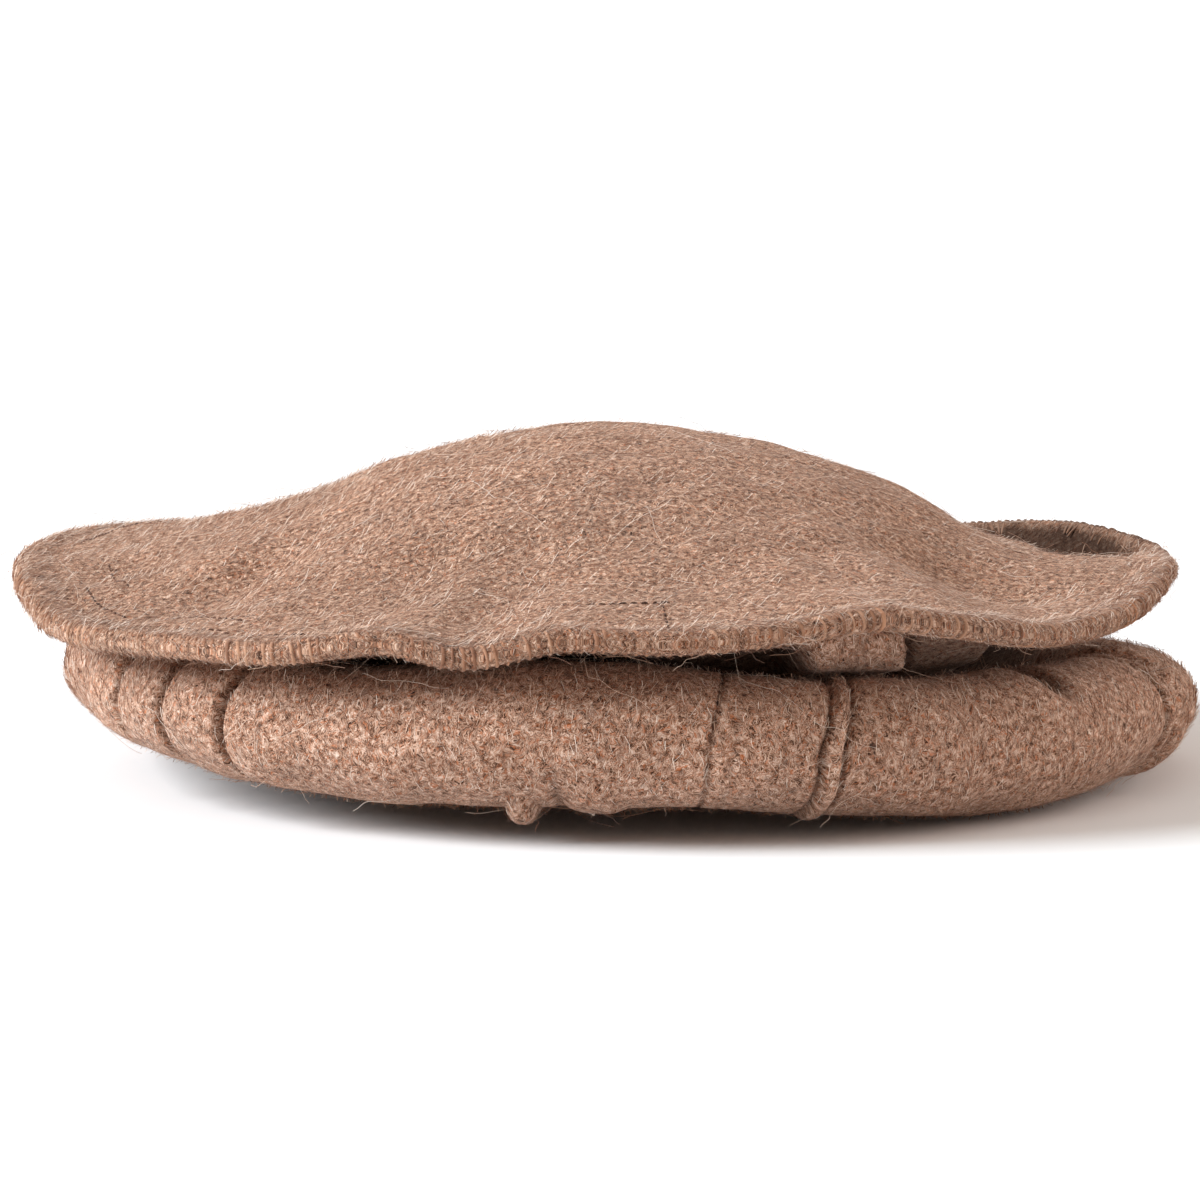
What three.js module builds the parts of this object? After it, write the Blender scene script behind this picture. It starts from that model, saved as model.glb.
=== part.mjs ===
// A pakol: a soft round hat of felted wool, lying on its own rolled band.
// Millimetres, +Z up, +X to the right as the hat is seen from its near side, which is -Y.
// The origin is the middle of the hat's bounding box, on the ground that the hat lies on.
import * as THREE from 'three';
import { mergeVertices } from 'three/addons/utils/BufferGeometryUtils.js';

// Driving sizes
const headDiameter = 186; // opening for the head, inside the band
const clothThickness = 3; // felted wool, one layer
const crownDiameter = 279; // across the stitched rim
const crownRise = 32; // middle of the crown above its rim
const rollWidth = 42; // rolled band, from the head opening outwards
const rollHeight = 32; // rolled band, from its underside up
const rollShift = 8; // the band lies this far to the right of the crown
const rollTurns = 2.1; // times that the cloth is wound
const windGap = 2; // air between two turns of the roll
const flareRise = 17.5; // rim of the crown above the top of the band
const hemWidth = 9; // strip where side and crown are sewn together
const flareInset = 1.5; // the side's cut edge lies this far inside the crown's
const seamGap = 0.3; // clearance between the two pieces of cloth
const pleatDepth = 2.4; // deepest crease in the band
const restPress = 0.8; // how far the band's underside is pressed flat

// Numbers of faces: sections round the hat, and points along the cloth of each section
const evenSections = 60;
const firstTurnPoints = 12;
const laterTurnPoints = 6;
const flarePoints = 6;
const edgeTurns = [45, 0, -45]; // degrees, points of the crown's round edge
const topShares = [0, 0.13, 0.26, 0.38, 0.49, 0.59, 0.68, 0.76]; // shares of the crown's radius
const underShares = [0.76, 0.68, 0.57, 0.43, 0.24, 0];

// Cloth under the rim, as shares of the crown's radius: where the flare leaves the crown, and the
// next point inwards that the crown and the side share.
const flareShare = 0.885;
const valleyShare = 0.83;

// Curve of the flare from the crown to the inner wall. A share of 0 is at the wall, 1 at the crown.
const shoulderShare = 0.25;
const shoulderDroop = 0.25; // share of a gather's bulge that its top hangs down
const neckShare = 0.55;
const neckBulge = 0.5; // share of a gather's bulge that is left at the neck

const waveStart = 0.3; // share of the crown's radius where the waves of the rim begin
const slopeStep = 0.01; // share of the crown's radius over which its slope is measured
const followLoss = 0.3; // share of a crease that each inner turn of the roll takes less
const mergeDistance = 0.001;

// Rim of the crown. Angles run anticlockwise from the right tip, seen from above, and 270 is the
// near side. Height is a share of the rim's level above the ground, reach a share of the radius.
const rimLevel = rollHeight + flareRise;
const rimRows = [
  { angle: 0, height: 1.0, reach: 1.0 },
  { angle: 12, height: 1.02, reach: 1.0 },
  { angle: 24, height: 1.03, reach: 0.99 },
  { angle: 36, height: 1.015, reach: 0.985 },
  { angle: 47, height: 0.965, reach: 0.985 },
  { angle: 62, height: 0.95, reach: 0.99 },
  { angle: 90, height: 0.965, reach: 1.0 },
  { angle: 112, height: 0.96, reach: 1.0 },
  { angle: 136, height: 0.98, reach: 1.0 },
  { angle: 158, height: 1.03, reach: 1.0 },
  { angle: 180, height: 1.03, reach: 1.0 },
  { angle: 195, height: 1.0, reach: 1.0 },
  { angle: 204, height: 0.94, reach: 1.0 },
  { angle: 213, height: 0.92, reach: 1.0 },
  { angle: 228, height: 0.935, reach: 1.0 },
  { angle: 239, height: 0.925, reach: 1.0 },
  { angle: 250, height: 1.0, reach: 1.0 },
  { angle: 258, height: 0.93, reach: 1.0 },
  { angle: 267, height: 1.03, reach: 1.0 },
  { angle: 277, height: 1.02, reach: 1.0 },
  { angle: 287, height: 1.075, reach: 1.0 },
  { angle: 297, height: 1.1, reach: 1.0 },
  { angle: 306, height: 1.02, reach: 1.0 },
  { angle: 317, height: 0.935, reach: 1.0 },
  { angle: 326, height: 0.965, reach: 1.0 },
  { angle: 336, height: 1.04, reach: 1.0 },
  { angle: 348, height: 1.05, reach: 1.0 },
];

// Slope of the crown: how much of its rise is left at each share of the radius, in four directions.
const riseRows = [
  { radius: 0, right: 1, back: 1, left: 1, front: 1 },
  { radius: 0.12, right: 0.98, back: 0.97, left: 0.95, front: 0.97 },
  { radius: 0.25, right: 0.9, back: 0.86, left: 0.84, front: 0.87 },
  { radius: 0.35, right: 0.79, back: 0.74, left: 0.72, front: 0.76 },
  { radius: 0.45, right: 0.66, back: 0.58, left: 0.54, front: 0.61 },
  { radius: 0.55, right: 0.46, back: 0.42, left: 0.38, front: 0.44 },
  { radius: 0.65, right: 0.22, back: 0.27, left: 0.25, front: 0.27 },
  { radius: 0.75, right: 0.08, back: 0.15, left: 0.14, front: 0.15 },
  { radius: 0.85, right: 0.03, back: 0.07, left: 0.06, front: 0.07 },
  { radius: 1, right: 0, back: 0, left: 0, front: 0 },
];

// Folds of the crown that run in from the rim: height is a share of the rise, up or down.
const crownFolds = [
  { name: 'trough behind the right tip', angle: 38, halfWidth: 32, from: 0.64, to: 1.0, height: -0.36 },
  { name: 'near right valley', angle: 330, halfWidth: 12, from: 0.5, to: 1.0, height: -0.11 },
  { name: 'near right ridge', angle: 311, halfWidth: 11, from: 0.45, to: 1.0, height: 0.1 },
  { name: 'front valley', angle: 246, halfWidth: 9, from: 0.45, to: 0.95, height: -0.08 },
  { name: 'left ridge', angle: 204, halfWidth: 9, from: 0.5, to: 0.95, height: 0.08 },
  { name: 'left valley', angle: 216, halfWidth: 8, from: 0.5, to: 0.95, height: -0.09 },
  { name: 'left tip valley', angle: 194, halfWidth: 8, from: 0.7, to: 1.0, height: -0.06 },
];

// Band round the head opening: lift off the ground and height, as shares of the band's height.
const bandRows = [
  { angle: 0, lift: 0.03, height: 0.88 },
  { angle: 25, lift: 0, height: 0.95 },
  { angle: 60, lift: 0, height: 1.0 },
  { angle: 105, lift: 0, height: 1.0 },
  { angle: 145, lift: 0, height: 1.0 },
  { angle: 160, lift: 0.06, height: 1.0 },
  { angle: 175, lift: 0.23, height: 0.95 },
  { angle: 190, lift: 0.32, height: 0.92 },
  { angle: 215, lift: 0.29, height: 0.92 },
  { angle: 240, lift: 0.24, height: 0.95 },
  { angle: 262, lift: 0.26, height: 1.02 },
  { angle: 275, lift: 0.26, height: 0.97 },
  { angle: 290, lift: 0.19, height: 0.93 },
  { angle: 305, lift: 0.07, height: 0.99 },
  { angle: 318, lift: 0, height: 1.05 },
  { angle: 335, lift: 0.02, height: 0.98 },
  { angle: 348, lift: 0.05, height: 0.9 },
];

// Creases and ridges that cross the band. Depth is a share of the deepest crease, and a ridge is
// less than nothing. Turn says where round the band's section it is deepest: 0 is the side at the
// head, 0.25 the underside, 0.5 the outside and 0.75 the top. Spread is how far it runs from there.
const bandFolds = [
  { name: 'first pleat', angle: 209, halfWidth: 2.4, depth: 1.0, turn: 0.55, spread: 0.4 },
  { name: 'second pleat', angle: 218, halfWidth: 2.4, depth: 1.0, turn: 0.55, spread: 0.4 },
  { name: 'third pleat', angle: 227, halfWidth: 2.2, depth: 0.9, turn: 0.55, spread: 0.4 },
  { name: 'nub', angle: 260, halfWidth: 2.5, depth: -1.3, turn: 0.28, spread: 0.12 },
  { name: 'stitched line', angle: 277, halfWidth: 1.2, depth: 0.35, turn: 0.5, spread: 0.5 },
  { name: 'raised seam', angle: 288, halfWidth: 1.8, depth: -0.6, turn: 0.5, spread: 0.5 },
  { name: 'pocket', angle: 322, halfWidth: 5.0, depth: 1.0, turn: 0.68, spread: 0.16 },
  { name: 'end groove', angle: 339.5, halfWidth: 2.0, depth: 0.8, turn: 0.55, spread: 0.4 },
  { name: 'end ridge', angle: 344.5, halfWidth: 2.0, depth: -0.5, turn: 0.55, spread: 0.4 },
];

// Gathers of the side where it narrows from the rim to the head: bulge is a share of the band's width.
const gatherRows = [
  { name: 'lit fold on the near side', angle: 297, halfWidth: 9, bulge: 0.42 },
  { name: 'fold beside it', angle: 314, halfWidth: 6, bulge: 0.26 },
  { name: 'fold over the seam', angle: 279, halfWidth: 7, bulge: 0.16 },
  { name: 'right fold', angle: 342, halfWidth: 12, bulge: 0.22 },
  { name: 'back right fold', angle: 22, halfWidth: 14, bulge: 0.2 },
  { name: 'back fold', angle: 62, halfWidth: 14, bulge: 0.16 },
  { name: 'far fold', angle: 102, halfWidth: 14, bulge: 0.2 },
  { name: 'back left fold', angle: 140, halfWidth: 13, bulge: 0.16 },
  { name: 'left fold', angle: 178, halfWidth: 13, bulge: 0.2 },
  { name: 'near left fold', angle: 222, halfWidth: 13, bulge: 0.16 },
  { name: 'near fold', angle: 256, halfWidth: 9, bulge: 0.14 },
];

const colours = { crown: 0xa8836f, rolled_side: 0x9f7a66 };
const feltRoughness = 0.95;

const radians = (degrees) => (degrees * Math.PI) / 180;
const mix = (a, b, share) => a + (b - a) * share;
const wrap = (degrees) => ((degrees % 360) + 540) % 360 - 180;

function ease(value, from, to) {
  const share = Math.min(1, Math.max(0, (value - from) / (to - from)));
  return share * share * (3 - 2 * share);
}

// A smooth hump that is 1 at its middle and 0 half a width away.
function hump(distance, halfWidth) {
  const share = Math.min(1, Math.abs(distance) / halfWidth);
  return 0.5 * (1 + Math.cos(Math.PI * share));
}

// Smooth curve through four values that follow each other at even or uneven places.
function throughFour(places, values, place) {
  const [a, b, c, d] = places;
  const span = c - b;
  const share = (place - b) / span;
  const startSlope = ((values[2] - values[0]) / (c - a)) * span;
  const endSlope = ((values[3] - values[1]) / (d - b)) * span;
  const cube = share ** 3;
  const square = share ** 2;
  return (2 * cube - 3 * square + 1) * values[1] + (cube - 2 * square + share) * startSlope
    + (3 * square - 2 * cube) * values[2] + (cube - square) * endSlope;
}

// Value of a column at any angle, from a table whose rows go round the hat.
function roundTable(rows, column, angle) {
  const turned = ((angle % 360) + 360) % 360;
  let next = rows.findIndex((row) => row.angle > turned);
  if (next < 0) next = rows.length;
  const places = [];
  const values = [];
  for (let step = -2; step < 2; step += 1) {
    const index = next + step;
    const turn = Math.floor(index / rows.length);
    const row = rows[index - turn * rows.length];
    places.push(row.angle + 360 * turn);
    values.push(row[column]);
  }
  return throughFour(places, values, turned);
}

// Value of a column at a share of the radius, from a table that starts at the middle.
function radialTable(rows, column, radius) {
  const last = rows.length - 1;
  const inside = Math.min(Math.max(radius, 0), 1);
  let next = rows.findIndex((row) => row.radius > inside);
  if (next < 0) next = last;
  const picked = [next - 2, next - 1, next, next + 1].map((i) => Math.min(Math.max(i, 0), last));
  const places = picked.map((i) => rows[i].radius);
  places[0] = next - 2 < 0 ? -rows[1].radius : places[0];
  places[3] = next + 1 > last ? 2 - rows[last - 1].radius : places[3];
  const values = picked.map((i) => rows[i][column]);
  values[0] = next - 2 < 0 ? rows[1][column] : values[0];
  return throughFour(places, values, inside);
}

// Crown
const crownRadius = (angle) => (crownDiameter / 2) * roundTable(rimRows, 'reach', angle);

function riseAt(share, angle) {
  const across = Math.cos(radians(angle));
  const along = Math.sin(radians(angle));
  const side = radialTable(riseRows, across > 0 ? 'right' : 'left', share);
  const depth = radialTable(riseRows, along > 0 ? 'back' : 'front', share);
  return side * across ** 2 + depth * along ** 2;
}

function foldsAt(share, angle) {
  let total = 0;
  for (const fold of crownFolds) {
    const middle = (fold.from + fold.to) / 2;
    const half = (fold.to - fold.from) / 2;
    total += fold.height * hump(wrap(angle - fold.angle), fold.halfWidth) * hump(share - middle, half);
  }
  return total;
}

// Height of the crown's upper face.
function crownTop(share, angle) {
  const wave = (roundTable(rimRows, 'height', angle) - 1) * rimLevel;
  const rise = crownRise * (riseAt(share, angle) + foldsAt(share, angle));
  return rimLevel + wave * ease(share, waveStart, 1) + rise;
}

// How steeply the crown climbs outwards.
function crownSlope(share, angle) {
  const inner = Math.max(share - slopeStep, 0);
  const outer = Math.min(share + slopeStep, 1);
  const climb = crownTop(outer, angle) - crownTop(inner, angle);
  return share === 0 ? 0 : climb / ((outer - inner) * crownRadius(angle));
}

// Height of the crown's lower face, one cloth below the upper one, measured square to the slope.
function crownUnder(share, angle) {
  return crownTop(share, angle) - clothThickness * Math.hypot(1, crownSlope(share, angle));
}

const polar = (radius, angle, height, shift = 0) => new THREE.Vector3(
  shift + radius * Math.cos(radians(angle)),
  radius * Math.sin(radians(angle)),
  height,
);

// Shares of the radius where the crown's round edge starts and where the sewn strip ends.
const edgeShare = (angle) => 1 - clothThickness / 2 / crownRadius(angle);
const hemShare = (angle) => 1 - hemWidth / crownRadius(angle);

// Outline of the crown's cloth from its middle to the rim, round the edge and back underneath.
function crownSection(angle) {
  const radius = crownRadius(angle);
  const edge = edgeShare(angle);
  const rimShares = [valleyShare, flareShare, hemShare(angle), edge];
  const points = [];
  for (const share of [...topShares, ...rimShares]) {
    points.push(polar(share * radius, angle, crownTop(share, angle)));
  }
  const edgeMiddle = (crownTop(edge, angle) + crownUnder(edge, angle)) / 2;
  for (const turn of edgeTurns) {
    const out = (clothThickness / 2) * Math.cos(radians(turn));
    const up = (clothThickness / 2) * Math.sin(radians(turn));
    points.push(polar(radius * edge + out, angle, edgeMiddle + up));
  }
  for (const share of [...rimShares.reverse(), ...underShares]) {
    points.push(polar(share * radius, angle, crownUnder(share, angle)));
  }
  return points;
}

// Rolled side. Each section is a strip of cloth: sewn strip, flare, inner wall and roll.

// How far the flare bulges away from the wall.
function gatherAt(angle) {
  let total = 0;
  for (const row of gatherRows) total += row.bulge * hump(wrap(angle - row.angle), row.halfWidth);
  return total * rollWidth;
}

// How far a point of the roll is pushed towards the roll's middle by the creases. Inner turns follow.
function creaseAt(angle, turns) {
  const follow = Math.max(0, 1 - followLoss * turns);
  let total = 0;
  for (const row of bandFolds) {
    const around = hump(turns - Math.floor(turns) - row.turn, row.spread);
    total += row.depth * around * hump(wrap(angle - row.angle), row.halfWidth);
  }
  return total * pleatDepth * follow;
}

// The crown's lower face above a point that is moved towards the middle of the band.
function underAt(radius, angle, shift) {
  const point = polar(radius, angle, 0, shift);
  const crownAngle = (Math.atan2(point.y, point.x) * 180) / Math.PI;
  const share = Math.hypot(point.x, point.y) / crownRadius(crownAngle);
  return crownUnder(Math.min(share, 1), crownAngle);
}

// Turns of the roll at one of its steps: the first turn has more of them than the later ones.
// They start half a step late, so that two of them share the flat on the ground.
function turnsAt(step) {
  const later = Math.max(step - firstTurnPoints, 0) / laterTurnPoints;
  return (Math.min(step, firstTurnPoints) + 0.5) / firstTurnPoints + later;
}

// Direction square to a line that runs inwards: downwards under the crown, outwards on the wall.
function sideways(line, index) {
  const before = line[Math.max(index - 1, 0)];
  const after = line[Math.min(index + 1, line.length - 1)];
  const along = new THREE.Vector2(after.x - before.x, after.y - before.y).normalize();
  return new THREE.Vector3(-along.y, along.x, 0);
}

// Middle line of the cloth, from the rim to its end inside the roll. A point is radius, height
// and how far its middle has moved from the crown's to the band's.
function clothLine(angle) {
  const half = clothThickness / 2;
  const pitch = clothThickness + windGap;
  const wall = headDiameter / 2 + half;
  const height = rollHeight * roundTable(bandRows, 'height', angle);
  const lift = rollHeight * Math.max(0, roundTable(bandRows, 'lift', angle));
  const across = (rollWidth - clothThickness + pitch / 2) / 2;
  const upward = (height - clothThickness + pitch) / 2;
  const centreRadius = wall + across;
  const centreHeight = lift - restPress + half + upward - pitch / 4;
  const above = [edgeShare(angle), hemShare(angle), flareShare, valleyShare].map((share) => (
    new THREE.Vector3(share * crownRadius(angle), crownUnder(share, angle), 0)
  ));
  above[0].lerp(above[1], flareInset / (hemWidth - half));
  const gaps = [seamGap, seamGap, seamGap + windGap / 2];
  const line = gaps.map((gap, index) => (
    above[index].clone().addScaledVector(sideways(above, index), gap + half)
  ));
  const bulge = gatherAt(angle);
  const from = line[2];
  const inner = new THREE.Vector3(wall, centreHeight, rollShift);
  const shoulder = new THREE.Vector3(
    mix(wall, from.x, shoulderShare) + bulge,
    from.y - half - bulge * shoulderDroop,
    rollShift / 3,
  );
  const neck = new THREE.Vector3(
    wall - half + bulge * neckBulge,
    mix(centreHeight, from.y, neckShare),
    rollShift,
  );
  const flare = new THREE.CubicBezierCurve3(from, shoulder, neck, inner);
  for (const point of flare.getPoints(flarePoints).slice(1, -1)) {
    const besideRoll = (point.x - centreRadius) / (across + windGap / 2);
    const overRoll = (point.y - centreHeight) / (upward + windGap / 2);
    const clear = Math.max(1, 1 / Math.hypot(besideRoll, overRoll));
    const radius = centreRadius + (point.x - centreRadius) * clear;
    const raised = centreHeight + (point.y - centreHeight) * clear;
    const ceiling = underAt(radius, angle, point.z) - clothThickness;
    line.push(new THREE.Vector3(radius, Math.min(raised, ceiling), point.z));
  }
  const rollStart = line.length;
  const steps = firstTurnPoints + Math.round((rollTurns - 1) * laterTurnPoints);
  for (let step = 0; step <= steps; step += 1) {
    const turns = turnsAt(step);
    const phase = Math.PI * (1 + 2 * turns);
    line.push(new THREE.Vector3(
      centreRadius + (across - pitch * turns) * Math.cos(phase),
      centreHeight + (upward - pitch * turns) * Math.sin(phase),
      rollShift,
    ));
  }
  return { line, centre: new THREE.Vector3(centreRadius, centreHeight, rollShift), rollStart };
}

// The strip of cloth with its thickness, folds and the flat where it rests.
function sideSection(angle) {
  const { line, centre, rollStart } = clothLine(angle);
  const half = clothThickness / 2;
  const upper = [];
  const lower = [];
  line.forEach((point, index) => {
    const normal = sideways(line, index);
    const turns = turnsAt(index - rollStart);
    const inward = centre.clone().sub(point).normalize();
    const crease = index < rollStart ? 0 : creaseAt(angle, turns);
    const folded = point.clone().addScaledVector(inward, crease);
    upper.push(folded.clone().addScaledVector(normal, -half));
    lower.push(folded.clone().addScaledVector(normal, half));
  });
  const loop = [...lower, ...upper.reverse()];
  return loop.map((point) => polar(point.x, angle, Math.max(point.y, 0), point.z));
}

// Angles of the sections: even steps, and one at the middle and both sides of each fold of the band.
function sectionAngles() {
  const angles = [];
  for (const fold of bandFolds) {
    for (const step of [-1, 0, 1]) angles.push(fold.angle + step * fold.halfWidth);
  }
  const even = 360 / evenSections;
  for (let step = 0; step < evenSections; step += 1) {
    const angle = step * even;
    const near = angles.some((other) => Math.abs(wrap(other - angle)) < even / 3);
    if (!near) angles.push(angle);
  }
  return angles.sort((a, b) => a - b);
}

// Joins sections that go round the hat into one closed skin. A face is split on its shorter diagonal.
function skin(sections, closedLoops) {
  const count = sections[0].length;
  const rows = closedLoops ? count : count - 1;
  const points = sections.flat();
  const index = [];
  for (let section = 0; section < sections.length; section += 1) {
    const here = section * count;
    const next = ((section + 1) % sections.length) * count;
    for (let row = 0; row < rows; row += 1) {
      const after = (row + 1) % count;
      const [a, b, c, d] = [here + row, here + after, next + after, next + row];
      if (points[a].distanceTo(points[c]) < points[b].distanceTo(points[d])) {
        index.push(a, c, d, a, b, c);
      } else {
        index.push(a, b, d, b, c, d);
      }
    }
  }
  const positions = points.flatMap((point) => point.toArray());
  const geometry = new THREE.BufferGeometry();
  geometry.setAttribute('position', new THREE.Float32BufferAttribute(positions, 3));
  geometry.setIndex(index);
  return withoutSlivers(mergeVertices(geometry, mergeDistance));
}

// Drops the triangles that closed up when points at the middle were merged.
function withoutSlivers(geometry) {
  const index = geometry.getIndex().array;
  const kept = [];
  for (let i = 0; i < index.length; i += 3) {
    const [a, b, c] = index.slice(i, i + 3);
    if (a !== b && b !== c && c !== a) kept.push(a, b, c);
  }
  geometry.setIndex(kept);
  geometry.computeVertexNormals();
  return geometry;
}

function piece(name, geometry) {
  const finish = { color: colours[name], roughness: feltRoughness, metalness: 0 };
  const mesh = new THREE.Mesh(geometry, new THREE.MeshStandardMaterial(finish));
  mesh.name = name;
  return mesh;
}

const angles = sectionAngles();
const hat = new THREE.Group();
hat.add(piece('crown', skin(angles.map(crownSection), false)));
hat.add(piece('rolled_side', skin(angles.map(sideSection), true)));

// The origin goes to the middle of the bounding box, on the ground.
const bounds = new THREE.Box3().setFromObject(hat);
const boxCentre = bounds.getCenter(new THREE.Vector3());
for (const mesh of hat.children) {
  mesh.geometry.translate(-boxCentre.x, -boxCentre.y, -bounds.min.z);
}

export default hat;
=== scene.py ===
# %% [markdown]
# # A pakol of felted wool
#
# This lesson dresses a plain solid model of a pakol, a soft round hat, so that it looks like the real
# felt one. The solid model is the frame: it says how big each piece of cloth is and where it lies.
# Everything here is made on top of it, in metres, with +Z up and the near side at -Y.

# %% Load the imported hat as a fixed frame
import math

import bmesh
import bpy
import numpy as np
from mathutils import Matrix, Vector


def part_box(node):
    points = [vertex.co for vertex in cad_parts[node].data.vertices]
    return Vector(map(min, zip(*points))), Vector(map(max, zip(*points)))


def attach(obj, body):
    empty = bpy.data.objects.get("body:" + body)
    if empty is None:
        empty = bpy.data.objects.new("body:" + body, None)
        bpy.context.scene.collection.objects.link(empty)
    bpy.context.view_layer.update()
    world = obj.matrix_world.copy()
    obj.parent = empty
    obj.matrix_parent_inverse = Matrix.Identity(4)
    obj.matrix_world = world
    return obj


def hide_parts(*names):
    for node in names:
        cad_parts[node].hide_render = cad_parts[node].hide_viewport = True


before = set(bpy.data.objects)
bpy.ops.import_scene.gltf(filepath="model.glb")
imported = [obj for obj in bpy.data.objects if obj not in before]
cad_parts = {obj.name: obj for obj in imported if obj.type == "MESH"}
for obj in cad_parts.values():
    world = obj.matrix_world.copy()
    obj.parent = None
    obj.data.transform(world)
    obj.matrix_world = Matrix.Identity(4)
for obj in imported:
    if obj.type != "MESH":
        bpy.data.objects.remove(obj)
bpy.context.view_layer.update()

# %% [markdown]
# ## The camera comes first
#
# The hat is seen from just above the table. A lens is easiest to think of as a scale: so many pixels
# of the square picture show one metre at the hat's distance. From that scale, the height of the
# eye and the pixel where the middle of the hat meets the table, the camera follows.

# %% Place the camera
PICTURE_SIDE = 1200  # pixels
SENSOR = 0.036
VIEW_ELEVATION = math.radians(8.5)
VIEW_DISTANCE = 1.4
PIXELS_PER_METRE = 4160
FLOOR_PIXEL = (596, 764)  # where the floor under the middle of the crown shows

crown_low, crown_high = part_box("crown")
crown_middle_x = (crown_low.x + crown_high.x) / 2
focal_pixels = PIXELS_PER_METRE * VIEW_DISTANCE
look_down = VIEW_ELEVATION - math.atan((FLOOR_PIXEL[1] - PICTURE_SIDE / 2) / focal_pixels)
look_right = math.atan((PICTURE_SIDE / 2 - FLOOR_PIXEL[0]) / focal_pixels)

lens = bpy.data.cameras.new("studio_camera")
lens.sensor_width = SENSOR * 1000
lens.lens = SENSOR * 1000 * focal_pixels / PICTURE_SIDE
camera = bpy.data.objects.new("studio_camera", lens)
camera.location = (
    crown_middle_x,
    -VIEW_DISTANCE * math.cos(VIEW_ELEVATION),
    VIEW_DISTANCE * math.sin(VIEW_ELEVATION),
)
camera.rotation_euler = (math.pi / 2 - look_down, 0, -look_right)
bpy.context.scene.collection.objects.link(camera)
bpy.context.scene.camera = camera
print("focal length", round(lens.lens, 1), "mm, looking down", round(math.degrees(look_down), 2), "degrees")

# %% [markdown]
# ## Sizes and tables
#
# A maker of such hats thinks in a few sizes: the head opening, the crown, the rolled band, the
# thickness of the felt. Sizes here are in millimetres, because cloth is thought of in millimetres,
# and they become metres when a mesh is made. The waves of the rim and the folds are short tables:
# angles run anticlockwise from the right tip, and 270 degrees is the near side.

# %% Name the driving sizes
MM = 0.001
CROWN_RADIUS = (crown_high.x - crown_low.x) / 2 / MM
CROWN_RISE = 32
HEAD_RADIUS = 93
CLOTH = 3
ROLL_WIDTH = 42
ROLL_HEIGHT = 32
ROLL_SHIFT = 8  # the band lies this far to the right of the crown
ROLL_TURNS = 2.1
WIND_GAP = 2
RIM_LEVEL = 49.5
HEM_WIDTH = 9
FLARE_INSET = 9  # the sewn edge of the side lies this far inside the rim
TIP_INSET = 4.5  # less at the right tip, where it shows
BACK_INSET = 10  # and this much more where the back right rim turns up
FLARE_SHARE = 0.885
SEAM_GAP = 0.3
PLEAT_DEPTH = 2.4
REST_PRESS = 0.8
GAP_SHADE = 0.85  # how dark the painted shade in the gap under the rim is, from 0 to 1
print("crown", round(2 * CROWN_RADIUS), "mm across, head opening", 2 * HEAD_RADIUS, "mm")


# %% A table with named columns
def table(names, *rows):
    """Short rows of numbers as one array for each named column."""
    return dict(zip(names.split(), np.array(rows, float).T))


RIM = table(
    "angle height reach",
    (0, 1.02, 0.988), (12, 1.04, 0.988), (24, 1.05, 0.985), (36, 1.03, 0.985), (47, 0.975, 0.985),
    (62, 0.95, 0.99), (90, 0.965, 1.0), (112, 0.96, 1.0), (136, 0.98, 1.0), (158, 1.03, 1.0),
    (180, 1.01, 0.995), (195, 0.96, 0.995), (204, 0.882, 1.0), (213, 0.858, 1.0), (228, 0.882, 1.0),
    (239, 0.893, 1.0), (250, 0.97, 1.0), (258, 0.915, 1.0), (267, 1.0, 1.0), (277, 0.985, 1.0),
    (287, 1.015, 1.0), (297, 1.06, 1.0), (306, 0.995, 1.0), (317, 0.915, 1.0), (326, 0.92, 1.0),
    (336, 0.965, 0.995), (348, 1.035, 0.99),
)
RISE = table(
    "radius right back left front",
    (0, 1, 1, 1, 1), (0.12, 0.98, 0.97, 0.95, 0.97), (0.25, 0.9, 0.86, 0.84, 0.87),
    (0.35, 0.79, 0.74, 0.72, 0.76), (0.45, 0.66, 0.58, 0.54, 0.61), (0.55, 0.46, 0.42, 0.38, 0.44),
    (0.65, 0.22, 0.27, 0.25, 0.27), (0.75, 0.08, 0.15, 0.14, 0.15), (0.85, 0.03, 0.07, 0.06, 0.07),
    (1, 0, 0, 0, 0),
)
CROWN_FOLDS = table(
    "angle half_width start end height",
    (42, 28, 0.77, 1.01, -0.44),  # trough behind the right tip
    (15, 16, 0.79, 1.01, -0.36),  # the same trough near the tip
    (24, 30, 0.56, 0.9, -0.14),  # the cloth in front of it sags
    (6, 16, 0.66, 0.98, -0.1),  # and sags most near the tip
    (330, 12, 0.5, 1.0, -0.11),  # near right valley
    (311, 11, 0.45, 1.0, 0.1),  # near right ridge
    (246, 9, 0.45, 0.95, -0.08),  # front valley
    (204, 9, 0.5, 0.95, 0.08),  # left ridge
    (216, 8, 0.5, 0.95, -0.09),  # left valley
    (194, 8, 0.7, 1.0, -0.06),  # left tip valley
)
BAND = table(
    "angle lift height",
    (0, 0.1, 0.83), (14, 0.05, 0.81), (38, 0, 0.8), (62, 0, 0.86), (90, 0, 1.0), (105, 0, 1.0),
    (145, 0, 1.0), (160, 0.08, 0.99), (175, 0.27, 0.93), (190, 0.38, 0.89), (215, 0.31, 0.915),
    (240, 0.24, 0.95), (262, 0.26, 1.02), (275, 0.26, 0.97), (290, 0.19, 0.93), (305, 0.09, 0.98),
    (318, 0.06, 1.0), (335, 0.1, 0.93), (348, 0.12, 0.86),
)
print("rim", len(RIM["angle"]), "rows, band", len(BAND["angle"]), "rows")

# %% [markdown]
# ## Smooth curves through the tables
#
# Cloth has no corners, so the rows are joined by a Catmull-Rom curve: at each row it leaves in the
# direction of the two rows beside it. numpy works out thousands of places in one go, which keeps the
# script quick.


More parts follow.
